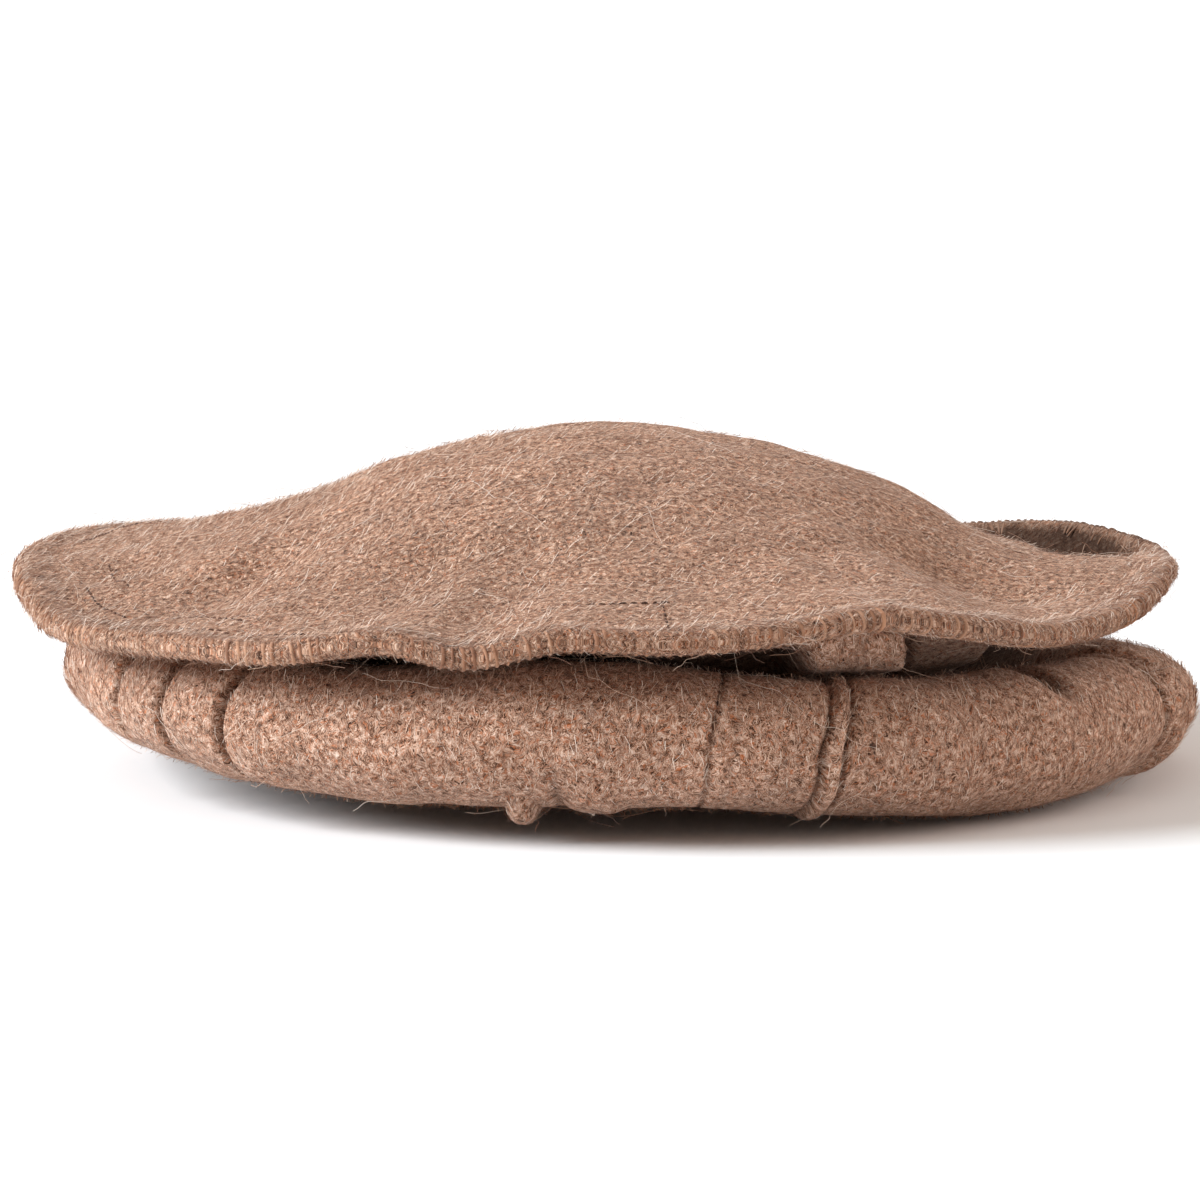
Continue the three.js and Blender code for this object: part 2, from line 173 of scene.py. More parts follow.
# %% Curves through a table
def through_four(places, values, place):
    """Smooth curve between the second and third of four places."""
    span = places[2] - places[1]
    share = (place - places[1]) / span
    start = (values[2] - values[0]) / (places[2] - places[0]) * span
    end = (values[3] - values[1]) / (places[3] - places[1]) * span
    cube, square = share**3, share**2
    return (
        (2 * cube - 3 * square + 1) * values[1] + (cube - 2 * square + share) * start
        + (3 * square - 2 * cube) * values[2] + (cube - square) * end
    )


def follow(places, values, place):
    """The curve through a list whose first and last entries only steer its ends."""
    after = np.clip(np.searchsorted(places, place, side="right"), 2, len(places) - 2)
    near = [after - 2, after - 1, after, after + 1]
    return through_four([places[i] for i in near], [values[i] for i in near], place)


def round_curve(rows, column, angle):
    """A column at any angle round the hat."""
    places, values = rows["angle"], rows[column]
    places = np.concatenate([places[-2:] - 360, places, places[:2] + 360])
    values = np.concatenate([values[-2:], values, values[:2]])
    return follow(places, values, np.asarray(angle, float) % 360)


def radial_curve(rows, column, share):
    """A column at a share of the radius, from the middle of the crown outwards."""
    places, values = rows["radius"], rows[column]
    places = np.concatenate([[-places[1]], places, [2 - places[-2]]])
    values = np.concatenate([[values[1]], values, [values[-1]]])
    return follow(places, values, np.clip(share, 0, 1))


def ease(value, start, end):
    share = np.clip((value - start) / (end - start), 0, 1)
    return share * share * (3 - 2 * share)


def hump(distance, half_width):
    """1 at its middle, 0 half a width away, smooth between."""
    return 0.5 * (1 + np.cos(np.pi * np.minimum(1, np.abs(distance) / half_width)))


def turned(degrees):
    """An angle between -180 and 180."""
    return (degrees + 180) % 360 - 180


def ripple(points, wavelength, seed, waves=9):
    """Gentle unevenness from crossing waves, about -1 to 1. The same seed gives the same cloth."""
    draw = np.random.default_rng(seed)
    total = np.zeros(points.shape[:-1])
    for _ in range(waves):
        direction = draw.normal(size=3)
        direction *= 2 * np.pi / wavelength / np.linalg.norm(direction) * draw.uniform(0.7, 1.4)
        total += np.sin(points @ direction + draw.uniform(0, 2 * np.pi))
    return total / math.sqrt(waves)


print("rim height at the near side:", round(float(round_curve(RIM, "height", 270)), 3))

# %% [markdown]
# ## The crown
#
# The crown is one disc of felt. Over the head opening it stands up in a dome, and round it the felt
# droops to the rim in waves. Its height is a function of the share of the radius and the
# angle, so the finest dents can be added to the same function that the solid model follows.

# %% Height of the crown
DENTS = table(
    "x y radius height",
    (-45, -62, 26, 1.2),  # lit shoulder in front of the dome's left half
    (34, -58, 16, -1.0),  # shadowed dent in front of the dome
    (-84, -40, 22, 0.8),
    (70, -78, 18, 0.7),
    (-8, -96, 20, -0.6),
    (48, 30, 24, -0.8),
    (-50, 58, 26, 0.9),
    (6, 74, 22, -0.8),
)


def crown_radius(angle):
    return CROWN_RADIUS * round_curve(RIM, "reach", angle)


def crown_top(share, angle):
    """Height of the crown's upper face in millimetres."""
    across, along = np.cos(np.radians(angle)), np.sin(np.radians(angle))
    side = np.where(across > 0, radial_curve(RISE, "right", share), radial_curve(RISE, "left", share))
    depth = np.where(along > 0, radial_curve(RISE, "back", share), radial_curve(RISE, "front", share))
    rise = side * across**2 + depth * along**2
    for place, half, start, end, height in zip(*CROWN_FOLDS.values()):
        radial = hump(share - (start + end) / 2, (end - start) / 2)
        rise = rise + height * hump(turned(angle - place), half) * radial
    wave = (round_curve(RIM, "height", angle) - 1) * RIM_LEVEL
    top = RIM_LEVEL + wave * ease(share, 0.3, 1) + CROWN_RISE * rise
    radius = share * crown_radius(angle)
    x, y = radius * across, radius * along
    for dent_x, dent_y, size, height in zip(*DENTS.values()):
        top = top + height * hump(np.hypot(x - dent_x, y - dent_y), size)
    return top


def crown_under(share, angle):
    """Height of the lower face, one cloth below the upper one measured square to the slope."""
    inner, outer = np.maximum(share - 0.01, 0), np.minimum(share + 0.01, 1)
    climb = crown_top(outer, angle) - crown_top(inner, angle)
    slope = np.where(share > 0, climb / ((outer - inner) * crown_radius(angle)), 0)
    return crown_top(share, angle) - CLOTH * np.hypot(1, slope)


def polar(radius, angle, height, shift=0.0):
    """Points in millimetres from the middle of the crown."""
    turn = np.radians(angle)
    parts = np.broadcast_arrays(shift + radius * np.cos(turn), radius * np.sin(turn), height)
    return np.stack(parts, axis=-1)


print("top of the dome:", round(float(crown_top(np.array(0.0), np.array(0.0))), 1), "mm")

# %% [markdown]
# A mesh that goes round in rings is a grid: rows of points, each row joined to the next. One helper
# makes all such meshes. It writes a UV map in metres, so that the felt keeps its scale on every piece,
# and two attributes: `nap` says where fibres may grow, and `fold` says how much painted shade a point
# gets: in a crease by its depth, in the gap under the rim and in the trough behind the right tip.


# %% Make a mesh from a grid of points
def cloth_mesh(name, points, flat, closed, **measures):
    """points: rows round the hat by places along the cloth, in millimetres. flat: UV with one more row."""
    rows, places, _ = points.shape
    place = np.arange(places if closed else places - 1)
    beside = (place + 1) % places
    row = np.arange(rows)[:, None]
    after = (row + 1) % rows
    index = [row * places + place, row * places + beside, after * places + beside, after * places + place]
    quads = np.stack(index, axis=-1).reshape(-1, 4)
    corners = np.stack(
        [flat[row, place], flat[row, beside], flat[row + 1, beside], flat[row + 1, place]], axis=-2
    )
    moved = points * MM + np.array([crown_middle_x, 0, 0])
    mesh = bpy.data.meshes.new(name)
    mesh.from_pydata(moved.reshape(-1, 3).tolist(), [], quads.tolist())
    mesh.uv_layers.new(name="cloth").data.foreach_set("uv", corners.astype(np.float32).ravel())
    for measure, values in sorted(measures.items()):
        where = mesh.attributes.new(measure, "FLOAT", "POINT")
        where.data.foreach_set("value", values.astype(np.float32).ravel())
    piece = bpy.data.objects.new(name, mesh)
    bpy.context.scene.collection.objects.link(piece)
    grid = bmesh.new()
    grid.from_mesh(mesh)
    bmesh.ops.remove_doubles(grid, verts=grid.verts, dist=1e-6)
    print(name, len(grid.faces), "faces,", round(grid.calc_volume(signed=True) * 1e6), "cubic centimetres")
    grid.to_mesh(mesh)
    grid.free()
    mesh.polygons.foreach_set("use_smooth", np.ones(len(mesh.polygons), bool))
    mesh.update()
    return piece


# %% Make the crown
CROWN_ROWS = 520
EDGE_TURNS = (60, 36, 12, -12, -36, -60)
HEM_PUFF = 0.5
HEM_GROOVE = 0.35
HEM_DROP = 1.7  # the turned edge is thicker than one cloth by this
RIM_NAP = 3.2  # how much denser the fibres stand at the rim
CROWN_RIPPLES = ((0.32, 21, 3), (0.14, 8, 4))  # height and length in millimetres, and seed
TROUGH_ANGLE = 31  # the middle of the painted shade in the trough behind the right tip

angle = np.arange(CROWN_ROWS)[:, None] * 360 / CROWN_ROWS
edge = 1 - CLOTH / 2 / crown_radius(angle)
hem = 1 - HEM_WIDTH * 1.4 / crown_radius(angle)
dome_steps = np.linspace(0, 1, 80)[:-1] ** 0.9
hem_steps = np.linspace(0, 1, 20)
top_shares = np.hstack([hem * dome_steps, hem + (edge - hem) * hem_steps])
under_shares = np.hstack([edge + (hem - edge) * hem_steps[::2], hem * (1 - np.linspace(0, 1, 34)[1:])])


def crown_relief(share, angle):
    """Small unevenness of the upper face, and the puffed hem with a groove inside it."""
    inset = (1 - share) * crown_radius(angle)
    points = polar(share * crown_radius(angle), angle, 0.0)
    fade = ease(inset, 1.5, 6)
    uneven = sum(height * ripple(points, length, seed) for height, length, seed in CROWN_RIPPLES)
    return fade * uneven + HEM_PUFF * hump(inset - 3.5, 4) - HEM_GROOVE * hump(inset - 9.5, 2)


top = crown_top(top_shares, angle) + crown_relief(top_shares, angle)
parts = [polar(top_shares * crown_radius(angle), angle, top)]
edge_middle = (crown_top(edge, angle) + crown_under(edge, angle)) / 2
hem_half = (CLOTH + HEM_DROP) / 2
for turn in EDGE_TURNS:
    out, up = CLOTH / 2 * math.cos(math.radians(turn)), hem_half * math.sin(math.radians(turn))
    parts.append(polar(crown_radius(angle) * edge + out, angle, edge_middle - HEM_DROP / 2 + up))
drop = HEM_DROP * (1 - ease((1 - under_shares) * crown_radius(angle), 4, 9))
parts.append(polar(under_shares * crown_radius(angle), angle, crown_under(under_shares, angle) - drop))
points = np.concatenate(parts, axis=1)
walked = np.cumsum(np.linalg.norm(np.diff(points, axis=1, prepend=points[:, :1]), axis=-1), axis=1)
unrolled = np.minimum(walked, walked[:, -1:] - walked)
flat = polar(unrolled, angle, 0.0)[..., :2] * MM
flat = np.concatenate([flat, flat[:1]])
edge_place = top_shares.shape[1] + len(EDGE_TURNS)
grows = np.ones(points.shape[:2])
grows[:, top_shares.shape[1] - 12:edge_place + 3] = RIM_NAP
grows[:, edge_place + 3:] = 0
inset = unrolled.max(axis=1, keepdims=True) - unrolled
# painted shade in the trough behind the right tip, where the turned-up rim lies in shadow; fewer fibres
# grow there
across_trough = ease(inset, 0, 7) * (1 - ease(inset, 12, 26))
trough = across_trough * (1 - ease(np.abs(turned(angle - TROUGH_ANGLE)), 12, 35))
trough[:, edge_place:] = 0
crown = cloth_mesh("crown_cloth", points, flat, closed=False, nap=grows * (1 - trough) ** 2, fold=trough)

# %% [markdown]
# ## The rolled side
#
# The side starts as a tube of felt, as wide as the crown's rim. It is sewn under the rim, gathered in
# to the head opening, goes down as the inner wall and is then rolled outwards and up, a little over
# two turns, which makes the thick band. So its section is a strip of cloth: a sewn edge, a flare and
# a spiral. Creases and ridges that cross the band push that strip in or out.

# %% Folds of the side
FOLDS = table(
    "angle lean left right depth turn spread",
    (209.0, 0, 1.5, 0.45, 1.35, 0.5, 0.42),  # first pleat
    (218.0, 0, 1.7, 0.45, 1.5, 0.5, 0.44),  # second pleat
    (227.0, 0, 1.5, 0.45, 1.5, 0.5, 0.44),  # third pleat
    (211.6, 0, 2.2, 4.6, -0.22, 0.5, 0.4),  # puffs beside them
    (220.6, 0, 2.2, 4.6, -0.22, 0.5, 0.4),
    (230.4, 0, 2.6, 6.0, -0.25, 0.5, 0.4),
    (203.5, 0, 5.0, 4.4, -0.3, 0.5, 0.4),
    (258.4, 0, 1.7, 1.7, -1.75, 0.28, 0.065),  # nub
    (266.0, 0, 3.0, 3.2, -0.75, 0.3, 0.11),  # bump beside it
    (262.4, 0, 0.9, 0.9, 0.5, 0.36, 0.12),
    (277.0, 3, 0.45, 0.45, 0.75, 0.5, 0.42),  # stitched line
    (279.2, 3, 0.4, 0.4, 0.25, 0.5, 0.36),  # faint line beside it
    (289.05, 4, 0.8, 0.8, -0.65, 0.5, 0.5),  # raised seam
    (288.0, 4, 0.7, 0.4, 0.95, 0.53, 0.47),  # groove left of the seam
    (290.1, 4, 0.35, 0.55, 1.1, 0.52, 0.49),  # groove right of the seam
    (318.6, 0, 2.4, 4.4, 2.3, 0.71, 0.13),  # pocket under the rim
    (315.5, 0, 4.5, 4.0, -0.5, 0.66, 0.17),
    (299, 0, 5.5, 5.5, -0.5, 0.7, 0.14),
    (336.6, 3, 0.8, 2.6, 1.9, 0.62, 0.38),  # end groove
    (341.8, 3, 2.0, 1.3, -0.95, 0.6, 0.42),  # end ridge
    (344.4, 3, 0.5, 2.6, 1.9, 0.62, 0.38),  # second groove
    (350.0, 3, 2.4, 2.6, -0.25, 0.6, 0.4),
)
GATHERS = table(
    "angle half_width bulge left_soft right_soft",
    (297, 6.8, 0.64, 0.3, 0.16),  # lit fold on the near side
    (311, 6.5, 0.34, 0.3, 0.2),
    (276, 7, 0.12, 1, 1),
    (342, 12, 0.22, 1, 1),
    (22, 14, 0.2, 0.6, 1),
    (62, 14, 0.16, 1, 0.6),
    (102, 14, 0.2, 0.7, 1),
    (140, 13, 0.16, 1, 0.7),
    (178, 13, 0.2, 0.7, 1),
    (222, 13, 0.16, 1, 1),
    (256, 9, 0.14, 1, 1),
)


def leans(lean, turns):
    """How many degrees a leaning fold has moved round the hat, above the middle of the outer face."""
    return lean * np.clip((turns - 0.5) / 0.25, 0, 1.2)


def crease(angle, turns):
    """How far a point of the roll is pushed towards the roll's middle. Inner turns follow less."""
    total = np.zeros(np.broadcast_shapes(angle.shape, turns.shape))
    around = turns - np.floor(turns)
    for place, lean, left, right, depth, turn, spread in zip(*FOLDS.values()):
        off = turned(angle - place - leans(lean, around))
        width = np.where(off < 0, left, right)
        if depth < 0:
            off_round = np.minimum(1, np.hypot(off / width, (around - turn) / spread))
            total = total + depth * (1 - off_round**3) ** 0.8
        else:
            total = total + depth * hump(off, width) * hump(around - turn, spread) ** 0.6
    return PLEAT_DEPTH * total * np.maximum(0, 1 - 0.3 * turns)


def gather(angle):
    """How far the flare bulges from the wall.

    A fold may rise softly on one side and hang steep on the other.
    """
    total = 0
    for place, half, bulge, left, right in zip(*GATHERS.values()):
        off = turned(angle - place) / half
        total = total + bulge * (1 - ease(-off, 1 - left, 1)) * (1 - ease(off, 1 - right, 1))
    return total * ROLL_WIDTH


print("deepest crease", round(float(crease(np.arange(360.0), np.array(0.5)).max()), 2), "mm")


# %% The strip of cloth at each angle
def square_to(line):
    """Direction square to lines of (radius, height), pointing down under the crown and out on the wall."""
    along = np.gradient(line, axis=1)
    along /= np.linalg.norm(along, axis=-1, keepdims=True)
    return np.stack([-along[..., 1], along[..., 0]], axis=-1)


def smooth(line, times):
    """Evens out kinks along each line and keeps its ends."""
    for _ in range(times):
        line[:, 1:-1] = 0.5 * line[:, 1:-1] + 0.25 * (line[:, :-2] + line[:, 2:])
    return line


def cloth_strip(angle, strip_steps, flare_steps, turns):
    """Middle line of the cloth: radius, height and shift towards the band's middle, at each angle."""
    half, pitch = CLOTH / 2, CLOTH + WIND_GAP
    wall = HEAD_RADIUS + half
    height = ROLL_HEIGHT * round_curve(BAND, "height", angle)
    lift = ROLL_HEIGHT * np.maximum(0, round_curve(BAND, "lift", angle))
    across, upward = (ROLL_WIDTH - CLOTH + pitch / 2) / 2, (height - CLOTH + pitch) / 2
    middle, level = wall + across, lift - REST_PRESS + half + upward - pitch / 4

    back = BACK_INSET * hump(turned(angle - 42), 42)
    inset = FLARE_INSET + (TIP_INSET - FLARE_INSET) * hump(turned(angle + 22), 40) + back
    first = 1 - (half + inset) / crown_radius(angle)
    last = FLARE_SHARE - back / crown_radius(angle)
    shares = first + (last - first) * np.linspace(0, 1, strip_steps)
    strip = np.stack([shares * crown_radius(angle), crown_under(shares, angle)], axis=-1)
    drop = half + SEAM_GAP + WIND_GAP / 2 * np.linspace(0, 1, strip_steps) ** 2
    strip = strip + square_to(strip) * drop[:, None]

    bulge = gather(angle)
    start = strip[:, -1:]
    share = np.linspace(0, 1, flare_steps)[1:-1]
    shoulder_out = wall + (start[..., 0] - wall) * 0.25 + bulge
    shoulder = np.stack([shoulder_out, start[..., 1] - half - bulge * 0.25], -1)
    neck = np.stack([wall - half + bulge * 0.5, level + (start[..., 1] - level) * 0.55], -1)
    inner = np.stack([np.full_like(level, wall), level], -1)
    weights = [(1 - share) ** 3, 3 * share * (1 - share) ** 2, 3 * share**2 * (1 - share), share**3]
    flare = sum(w[None, :, None] * p for w, p in zip(weights, (start, shoulder, neck, inner)))
    shift = ROLL_SHIFT * (weights[1] / 3 + weights[2] + weights[3])
    beside = (flare[..., 0] - middle) / (across + WIND_GAP / 2)
    over = (flare[..., 1] - level) / (upward + WIND_GAP / 2)
    clear = np.maximum(1, 1 / np.hypot(beside, over))
    centre = np.stack([middle + 0 * level, level], -1)
    flare = centre + (flare - centre) * clear[..., None]
    place = polar(flare[..., 0], angle, 0.0, shift)
    above = np.degrees(np.arctan2(place[..., 1], place[..., 0]))
    share_above = np.minimum(np.hypot(place[..., 0], place[..., 1]) / crown_radius(above), 1)
    flare[..., 1] = np.minimum(flare[..., 1], crown_under(share_above, above) - CLOTH)

    phase = np.pi * (1 + 2 * turns)
    spiral = np.stack(
        [middle + (across - pitch * turns) * np.cos(phase) + 0 * level,
         level + (upward - pitch * turns) * np.sin(phase)], -1
    )
    line = smooth(np.concatenate([strip, flare, spiral], axis=1), 3)
    shifts = np.concatenate([np.zeros(strip_steps), shift, np.full(turns.shape, ROLL_SHIFT)])
    around = np.concatenate([np.full(strip_steps + len(shift), -1.0), turns])
    return line, shifts, around, centre


def side_face(angle, strip_steps, flare_steps, turns, towards):
    """One face of the cloth, with its creases and the flat where it rests.

    towards is 1 for the face that looks into the gap under the rim, and -1 for the one that shows on
    the band.
    """
    line, shifts, around, middle = cloth_strip(angle, strip_steps, flare_steps, turns)
    inward = middle - line
    inward /= np.linalg.norm(inward, axis=-1, keepdims=True)
    pushed = np.where(around < 0, 0, crease(angle, np.maximum(around, 0)))
    face = line + inward * pushed[..., None] + square_to(line) * CLOTH / 2 * towards
    points = polar(face[..., 0], angle, face[..., 1], shifts)
    uneven = sum(height * ripple(points, length, seed) for height, length, seed in SIDE_RIPPLES)
    inward_point = polar(inward[..., 0], angle, inward[..., 1])
    points -= (uneven * ease(around, 0.05, 0.2))[..., None] * inward_point
    points[..., 2] = np.maximum(points[..., 2], 0)
    walked = np.cumsum(np.linalg.norm(np.diff(line, axis=1, prepend=line[:, :1]), axis=-1), axis=1)
    # the last share is the painted shade of the creases, by how far each is pressed in
    return points, walked, np.clip(pushed / PLEAT_DEPTH / 1.3, 0, 1)


# %% Make the rolled side
SIDE_ROWS = 450
FOLD_STEP = 0.28
STRIP_STEPS = 6
FLARE_STEPS = 22
BAND_STEPS = 60  # round the first turn of the roll
SIDE_RIPPLES = ((0.35, 24, 7), (0.15, 9, 8))  # height and length in millimetres, and seed

even = np.arange(SIDE_ROWS) * 360 / SIDE_ROWS
near_folds = [np.arange(place - 1.2 * left - 0.4, place + 1.2 * right + 0.4, FOLD_STEP)
              for place, left, right in zip(FOLDS["angle"], FOLDS["left"], FOLDS["right"]) if left < 2]
leaning = [np.arange(place, place + lean * 1.2, FOLD_STEP * np.sign(lean))
           for place, lean in zip(FOLDS["angle"], FOLDS["lean"]) if lean != 0]
angle = np.sort(np.concatenate([even, *near_folds, *leaning]) % 360)
angle = angle[np.diff(angle, prepend=-1) > 0.13][:, None]
gap_turns = np.concatenate([np.linspace(0.04, 1.0, 12), np.linspace(1.15, ROLL_TURNS, 8)])
band_turns = np.concatenate([np.linspace(0.02, 1.05, BAND_STEPS), np.linspace(1.15, ROLL_TURNS, 8)])
gap_face, gap_length, gap_fold = side_face(angle, STRIP_STEPS, FLARE_STEPS, gap_turns, towards=1)
band_face, band_length, band_fold = side_face(angle, 3, 10, band_turns, towards=-1)
points = np.concatenate([gap_face, band_face[:, ::-1]], axis=1)
length = np.concatenate([gap_length, -CLOTH - band_length[:, ::-1]], axis=1)
round_length = np.radians(angle) * (HEAD_RADIUS + ROLL_WIDTH / 2)
flat = np.stack([np.broadcast_to(round_length, length.shape), length], -1)
closing = flat[:1] + [2 * np.pi * (HEAD_RADIUS + ROLL_WIDTH / 2), 0]
flat = np.concatenate([flat, closing]) * MM
in_gap = slice(STRIP_STEPS, STRIP_STEPS + FLARE_STEPS - 2)
# painted shade in the gap under the rim, lighter where the flare bulges out from the wall
gap_fold[:, in_gap] = GAP_SHADE * (1 - ease(gather(angle) / ROLL_WIDTH, 0.1, 0.62))
fold = np.concatenate([gap_fold, band_fold[:, ::-1]], axis=1)
gap_grows, band_grows = np.zeros(gap_fold.shape), np.zeros(band_fold.shape)
gap_grows[:, 1:STRIP_STEPS + FLARE_STEPS - 2] = 1
band_grows[:, 11:11 + BAND_STEPS] = 1
grows = np.concatenate([gap_grows, band_grows[:, ::-1]], axis=1) * (points[..., 2] > 1.2) * (1 - fold) ** 2
side = cloth_mesh("side_cloth", points, flat, closed=True, nap=grows, fold=fold)
print("rows round the side:", len(angle), "strip", round(float(band_length[:, -1].mean())), "mm long")

# %% [markdown]
# ## Stitches by Geometry Nodes
#
# The rim is closed all round with overcast stitches: one loop of yarn beside the other, from the top
# of the cloth over its edge to the seam underneath. More than three hundred loops are a job for Geometry
# Nodes. The tree gets a line that runs along the rim, puts one stitch at each step and turns it with
# the cloth. Its sizes are named inputs, and the seed is fixed, so each run sews the same hat.


# %% Helpers that build a node tree
def add(tree, kind, *wires, **settings):
    """Adds a node. A wire is (input, value or socket it is linked to)."""
    node = tree.nodes.new(kind)
    for setting, value in settings.items():
        setattr(node, setting, value)
    for name, value in wires:
        if isinstance(value, bpy.types.NodeSocket):
            tree.links.new(value, node.inputs[name])
        else:
            node.inputs[name].default_value = value
    return node


def new_tree(name, **inputs):
    """A Geometry Nodes tree with named inputs. Returns the tree and the sockets of its inputs."""
    tree = bpy.data.node_groups.new(name, "GeometryNodeTree")
    tree.interface.new_socket("Geometry", in_out="OUTPUT", socket_type="NodeSocketGeometry")
    tree.interface.new_socket("Geometry", in_out="INPUT", socket_type="NodeSocketGeometry")
    for label, kind in inputs.items():
        tree.interface.new_socket(label, in_out="INPUT", socket_type="NodeSocket" + kind)
    return tree, tree.nodes.new("NodeGroupInput").outputs


def end_tree(tree, geometry, material):
    realized = add(tree, "GeometryNodeRealizeInstances", ("Geometry", geometry))
    finished = add(
        tree, "GeometryNodeSetMaterial", ("Geometry", realized.outputs[0]), ("Material", material),
    )
    add(tree, "NodeGroupOutput", ("Geometry", finished.outputs[0]))


def between(tree, low, high, seed, extra):
    """A random number for each item. extra keeps one draw apart from another."""
    mixed = add(tree, "ShaderNodeMath", (0, seed), (1, extra), operation="ADD")
    draw = add(tree, "FunctionNodeRandomValue", data_type="FLOAT")
    floats = [socket for socket in draw.inputs if socket.type == "VALUE"]
    for socket, value in zip(floats, (low, high)):
        if isinstance(value, bpy.types.NodeSocket):
            tree.links.new(value, socket)
        else:
            socket.default_value = value
    tree.links.new(mixed.outputs[0], draw.inputs["Seed"])
    return next(socket for socket in draw.outputs if socket.type == "VALUE")


def grow(name, base, tree, **values):
    """Runs a tree on the base mesh, or on no mesh, and keeps the result as a plain mesh; the base mesh is
    removed.
    """
    mesh = bpy.data.meshes.new(name) if base is None else base
    maker = bpy.data.objects.new(name, mesh)
    bpy.context.scene.collection.objects.link(maker)
    modifier = maker.modifiers.new("maker", "NODES")
    modifier.node_group = tree
    for item in tree.interface.items_tree:
        if item.in_out == "INPUT" and item.name in values:
            modifier[item.identifier] = values[item.name]
    evaluated = maker.evaluated_get(bpy.context.evaluated_depsgraph_get())
    made = bpy.data.meshes.new_from_object(evaluated)
    maker.modifiers.clear()
    maker.data = made
    made.name = name
    bpy.data.meshes.remove(mesh)
    made.polygons.foreach_set("use_smooth", np.ones(len(made.polygons), bool))
    print(name, len(made.polygons), "faces")
    return maker


def axes(tree, up, along):
    """Rotation that stands an instance's Z on `up` and leans its X along `along`."""
    node = add(tree, "FunctionNodeAxesToRotation", primary_axis="Z", secondary_axis="X")
    tree.links.new(up, node.inputs[0])
    tree.links.new(along, node.inputs[1])
    return node.outputs[0]


def turn_about(tree, rotation, x, y, z):
    """Turns an instance about its own axes."""
    parts = add(tree, "ShaderNodeCombineXYZ", ("X", x), ("Y", y), ("Z", z))
    euler = add(tree, "FunctionNodeEulerToRotation", (0, parts.outputs[0]))
    node = add(tree, "FunctionNodeRotateRotation", rotation_space="LOCAL")
    tree.links.new(rotation, node.inputs[0])
    tree.links.new(euler.outputs[0], node.inputs[1])
    return node.outputs[0]


def keep(tree, geometry, name, value, domain="INSTANCE"):
    stored = add(
        tree, "GeometryNodeStoreNamedAttribute", ("Geometry", geometry), ("Name", name),
        data_type="FLOAT", domain=domain,
    )
    tree.links.new(value, next(s for s in stored.inputs if s.name == "Value" and s.type == "VALUE"))
    return stored.outputs[0]


# %% [markdown]
# One stitch is a short tube of yarn along a C: it starts on the cloth, runs outwards, goes round the
# edge and ends underneath. It is drawn at the origin, with +X outwards and +Z up, so the
# tree only has to move and turn it.


# %% One overcast stitch and one running stitch
def yarn_tube(name, line, thickness, sides=6):
    """A closed tube of yarn along points in millimetres that lie in the plane of X and Z."""
    line = np.array(line, float)
    along = np.gradient(line, axis=0)
    along /= np.linalg.norm(along, axis=1, keepdims=True)
    normal = np.stack([-along[:, 1], along[:, 0]], -1)
    taper = np.sin(np.linspace(0.12, 0.88, len(line)) * np.pi) ** 0.4
    turn = np.arange(sides) * 2 * np.pi / sides
    across, up = np.sin(turn) * thickness * 0.62, np.cos(turn) * thickness / 2
    rings = np.empty((len(line), sides, 3))
    rings[..., 0] = line[:, :1] + normal[:, :1] * up * taper[:, None]
    rings[..., 1] = across * taper[:, None]
    rings[..., 2] = line[:, 1:] + normal[:, 1:] * up * taper[:, None]
    here = np.arange(len(line) - 1)[:, None] * sides + np.arange(sides)
    beside = np.arange(len(line) - 1)[:, None] * sides + (np.arange(sides) + 1) % sides
    quads = np.stack([here, beside, beside + sides, here + sides], -1).reshape(-1, 4).tolist()
    last = (len(line) - 1) * sides
    caps = [list(range(sides))[::-1], list(range(last, last + sides))]
    mesh = bpy.data.meshes.new(name)
    mesh.from_pydata((rings.reshape(-1, 3) * MM).tolist(), [], quads + caps)
    solid = bmesh.new()
    solid.from_mesh(mesh)
    bmesh.ops.recalc_face_normals(solid, faces=solid.faces)
    solid.to_mesh(mesh)
    solid.free()
    return bpy.data.objects.new(name, mesh)


STITCH_REACH = 4.6  # from the edge inwards, on top
STITCH_TUCK = 1.4  # the same underneath
YARN = 0.78
turns = np.radians(np.linspace(90, -90, 9))
round_edge = [(CLOTH / 2 * math.cos(t), hem_half * math.sin(t) * 1.03) for t in turns]
on_top = [(-STITCH_REACH, hem_half - 0.2), (-STITCH_REACH * 0.75, hem_half + 0.12),
          (-STITCH_REACH * 0.5, hem_half + 0.18), (-STITCH_REACH * 0.25, hem_half + 0.12)]
tucked = [(-STITCH_TUCK * 0.5, -hem_half - 0.05), (-STITCH_TUCK, -hem_half + 0.2)]
overcast = yarn_tube("overcast_stitch", on_top + round_edge + tucked, YARN)
dipping = [(-0.8, -0.2), (-0.4, 0.14), (0, 0.2), (0.4, 0.14), (0.8, -0.2)]
running = yarn_tube("running_stitch", dipping, 0.42)
print("overcast stitch", len(overcast.data.polygons), "faces")

# %% The tree that sews along a line
sewing, given = new_tree(
    "sew_along_line", Stitch="Object", Pitch="Float", Lean="Float", Uneven="Float", Seed="Int",
    Yarn="Material",
)
line = add(sewing, "GeometryNodeMeshToCurve", ("Mesh", given["Geometry"]))
steps = add(
    sewing, "GeometryNodeResampleCurve", ("Curve", line.outputs[0]), ("Length", given["Pitch"]),
    mode="LENGTH",
)
stitch = add(sewing, "GeometryNodeObjectInfo", ("Object", given["Stitch"]))
up = add(sewing, "GeometryNodeInputNamedAttribute", ("Name", "up"), data_type="FLOAT_VECTOR")
out = add(sewing, "GeometryNodeInputNamedAttribute", ("Name", "out"), data_type="FLOAT_VECTOR")
slant = between(sewing, 0.6, 1.4, given["Seed"], 1)
slant = add(sewing, "ShaderNodeMath", (0, slant), (1, given["Lean"]), operation="MULTIPLY").outputs[0]
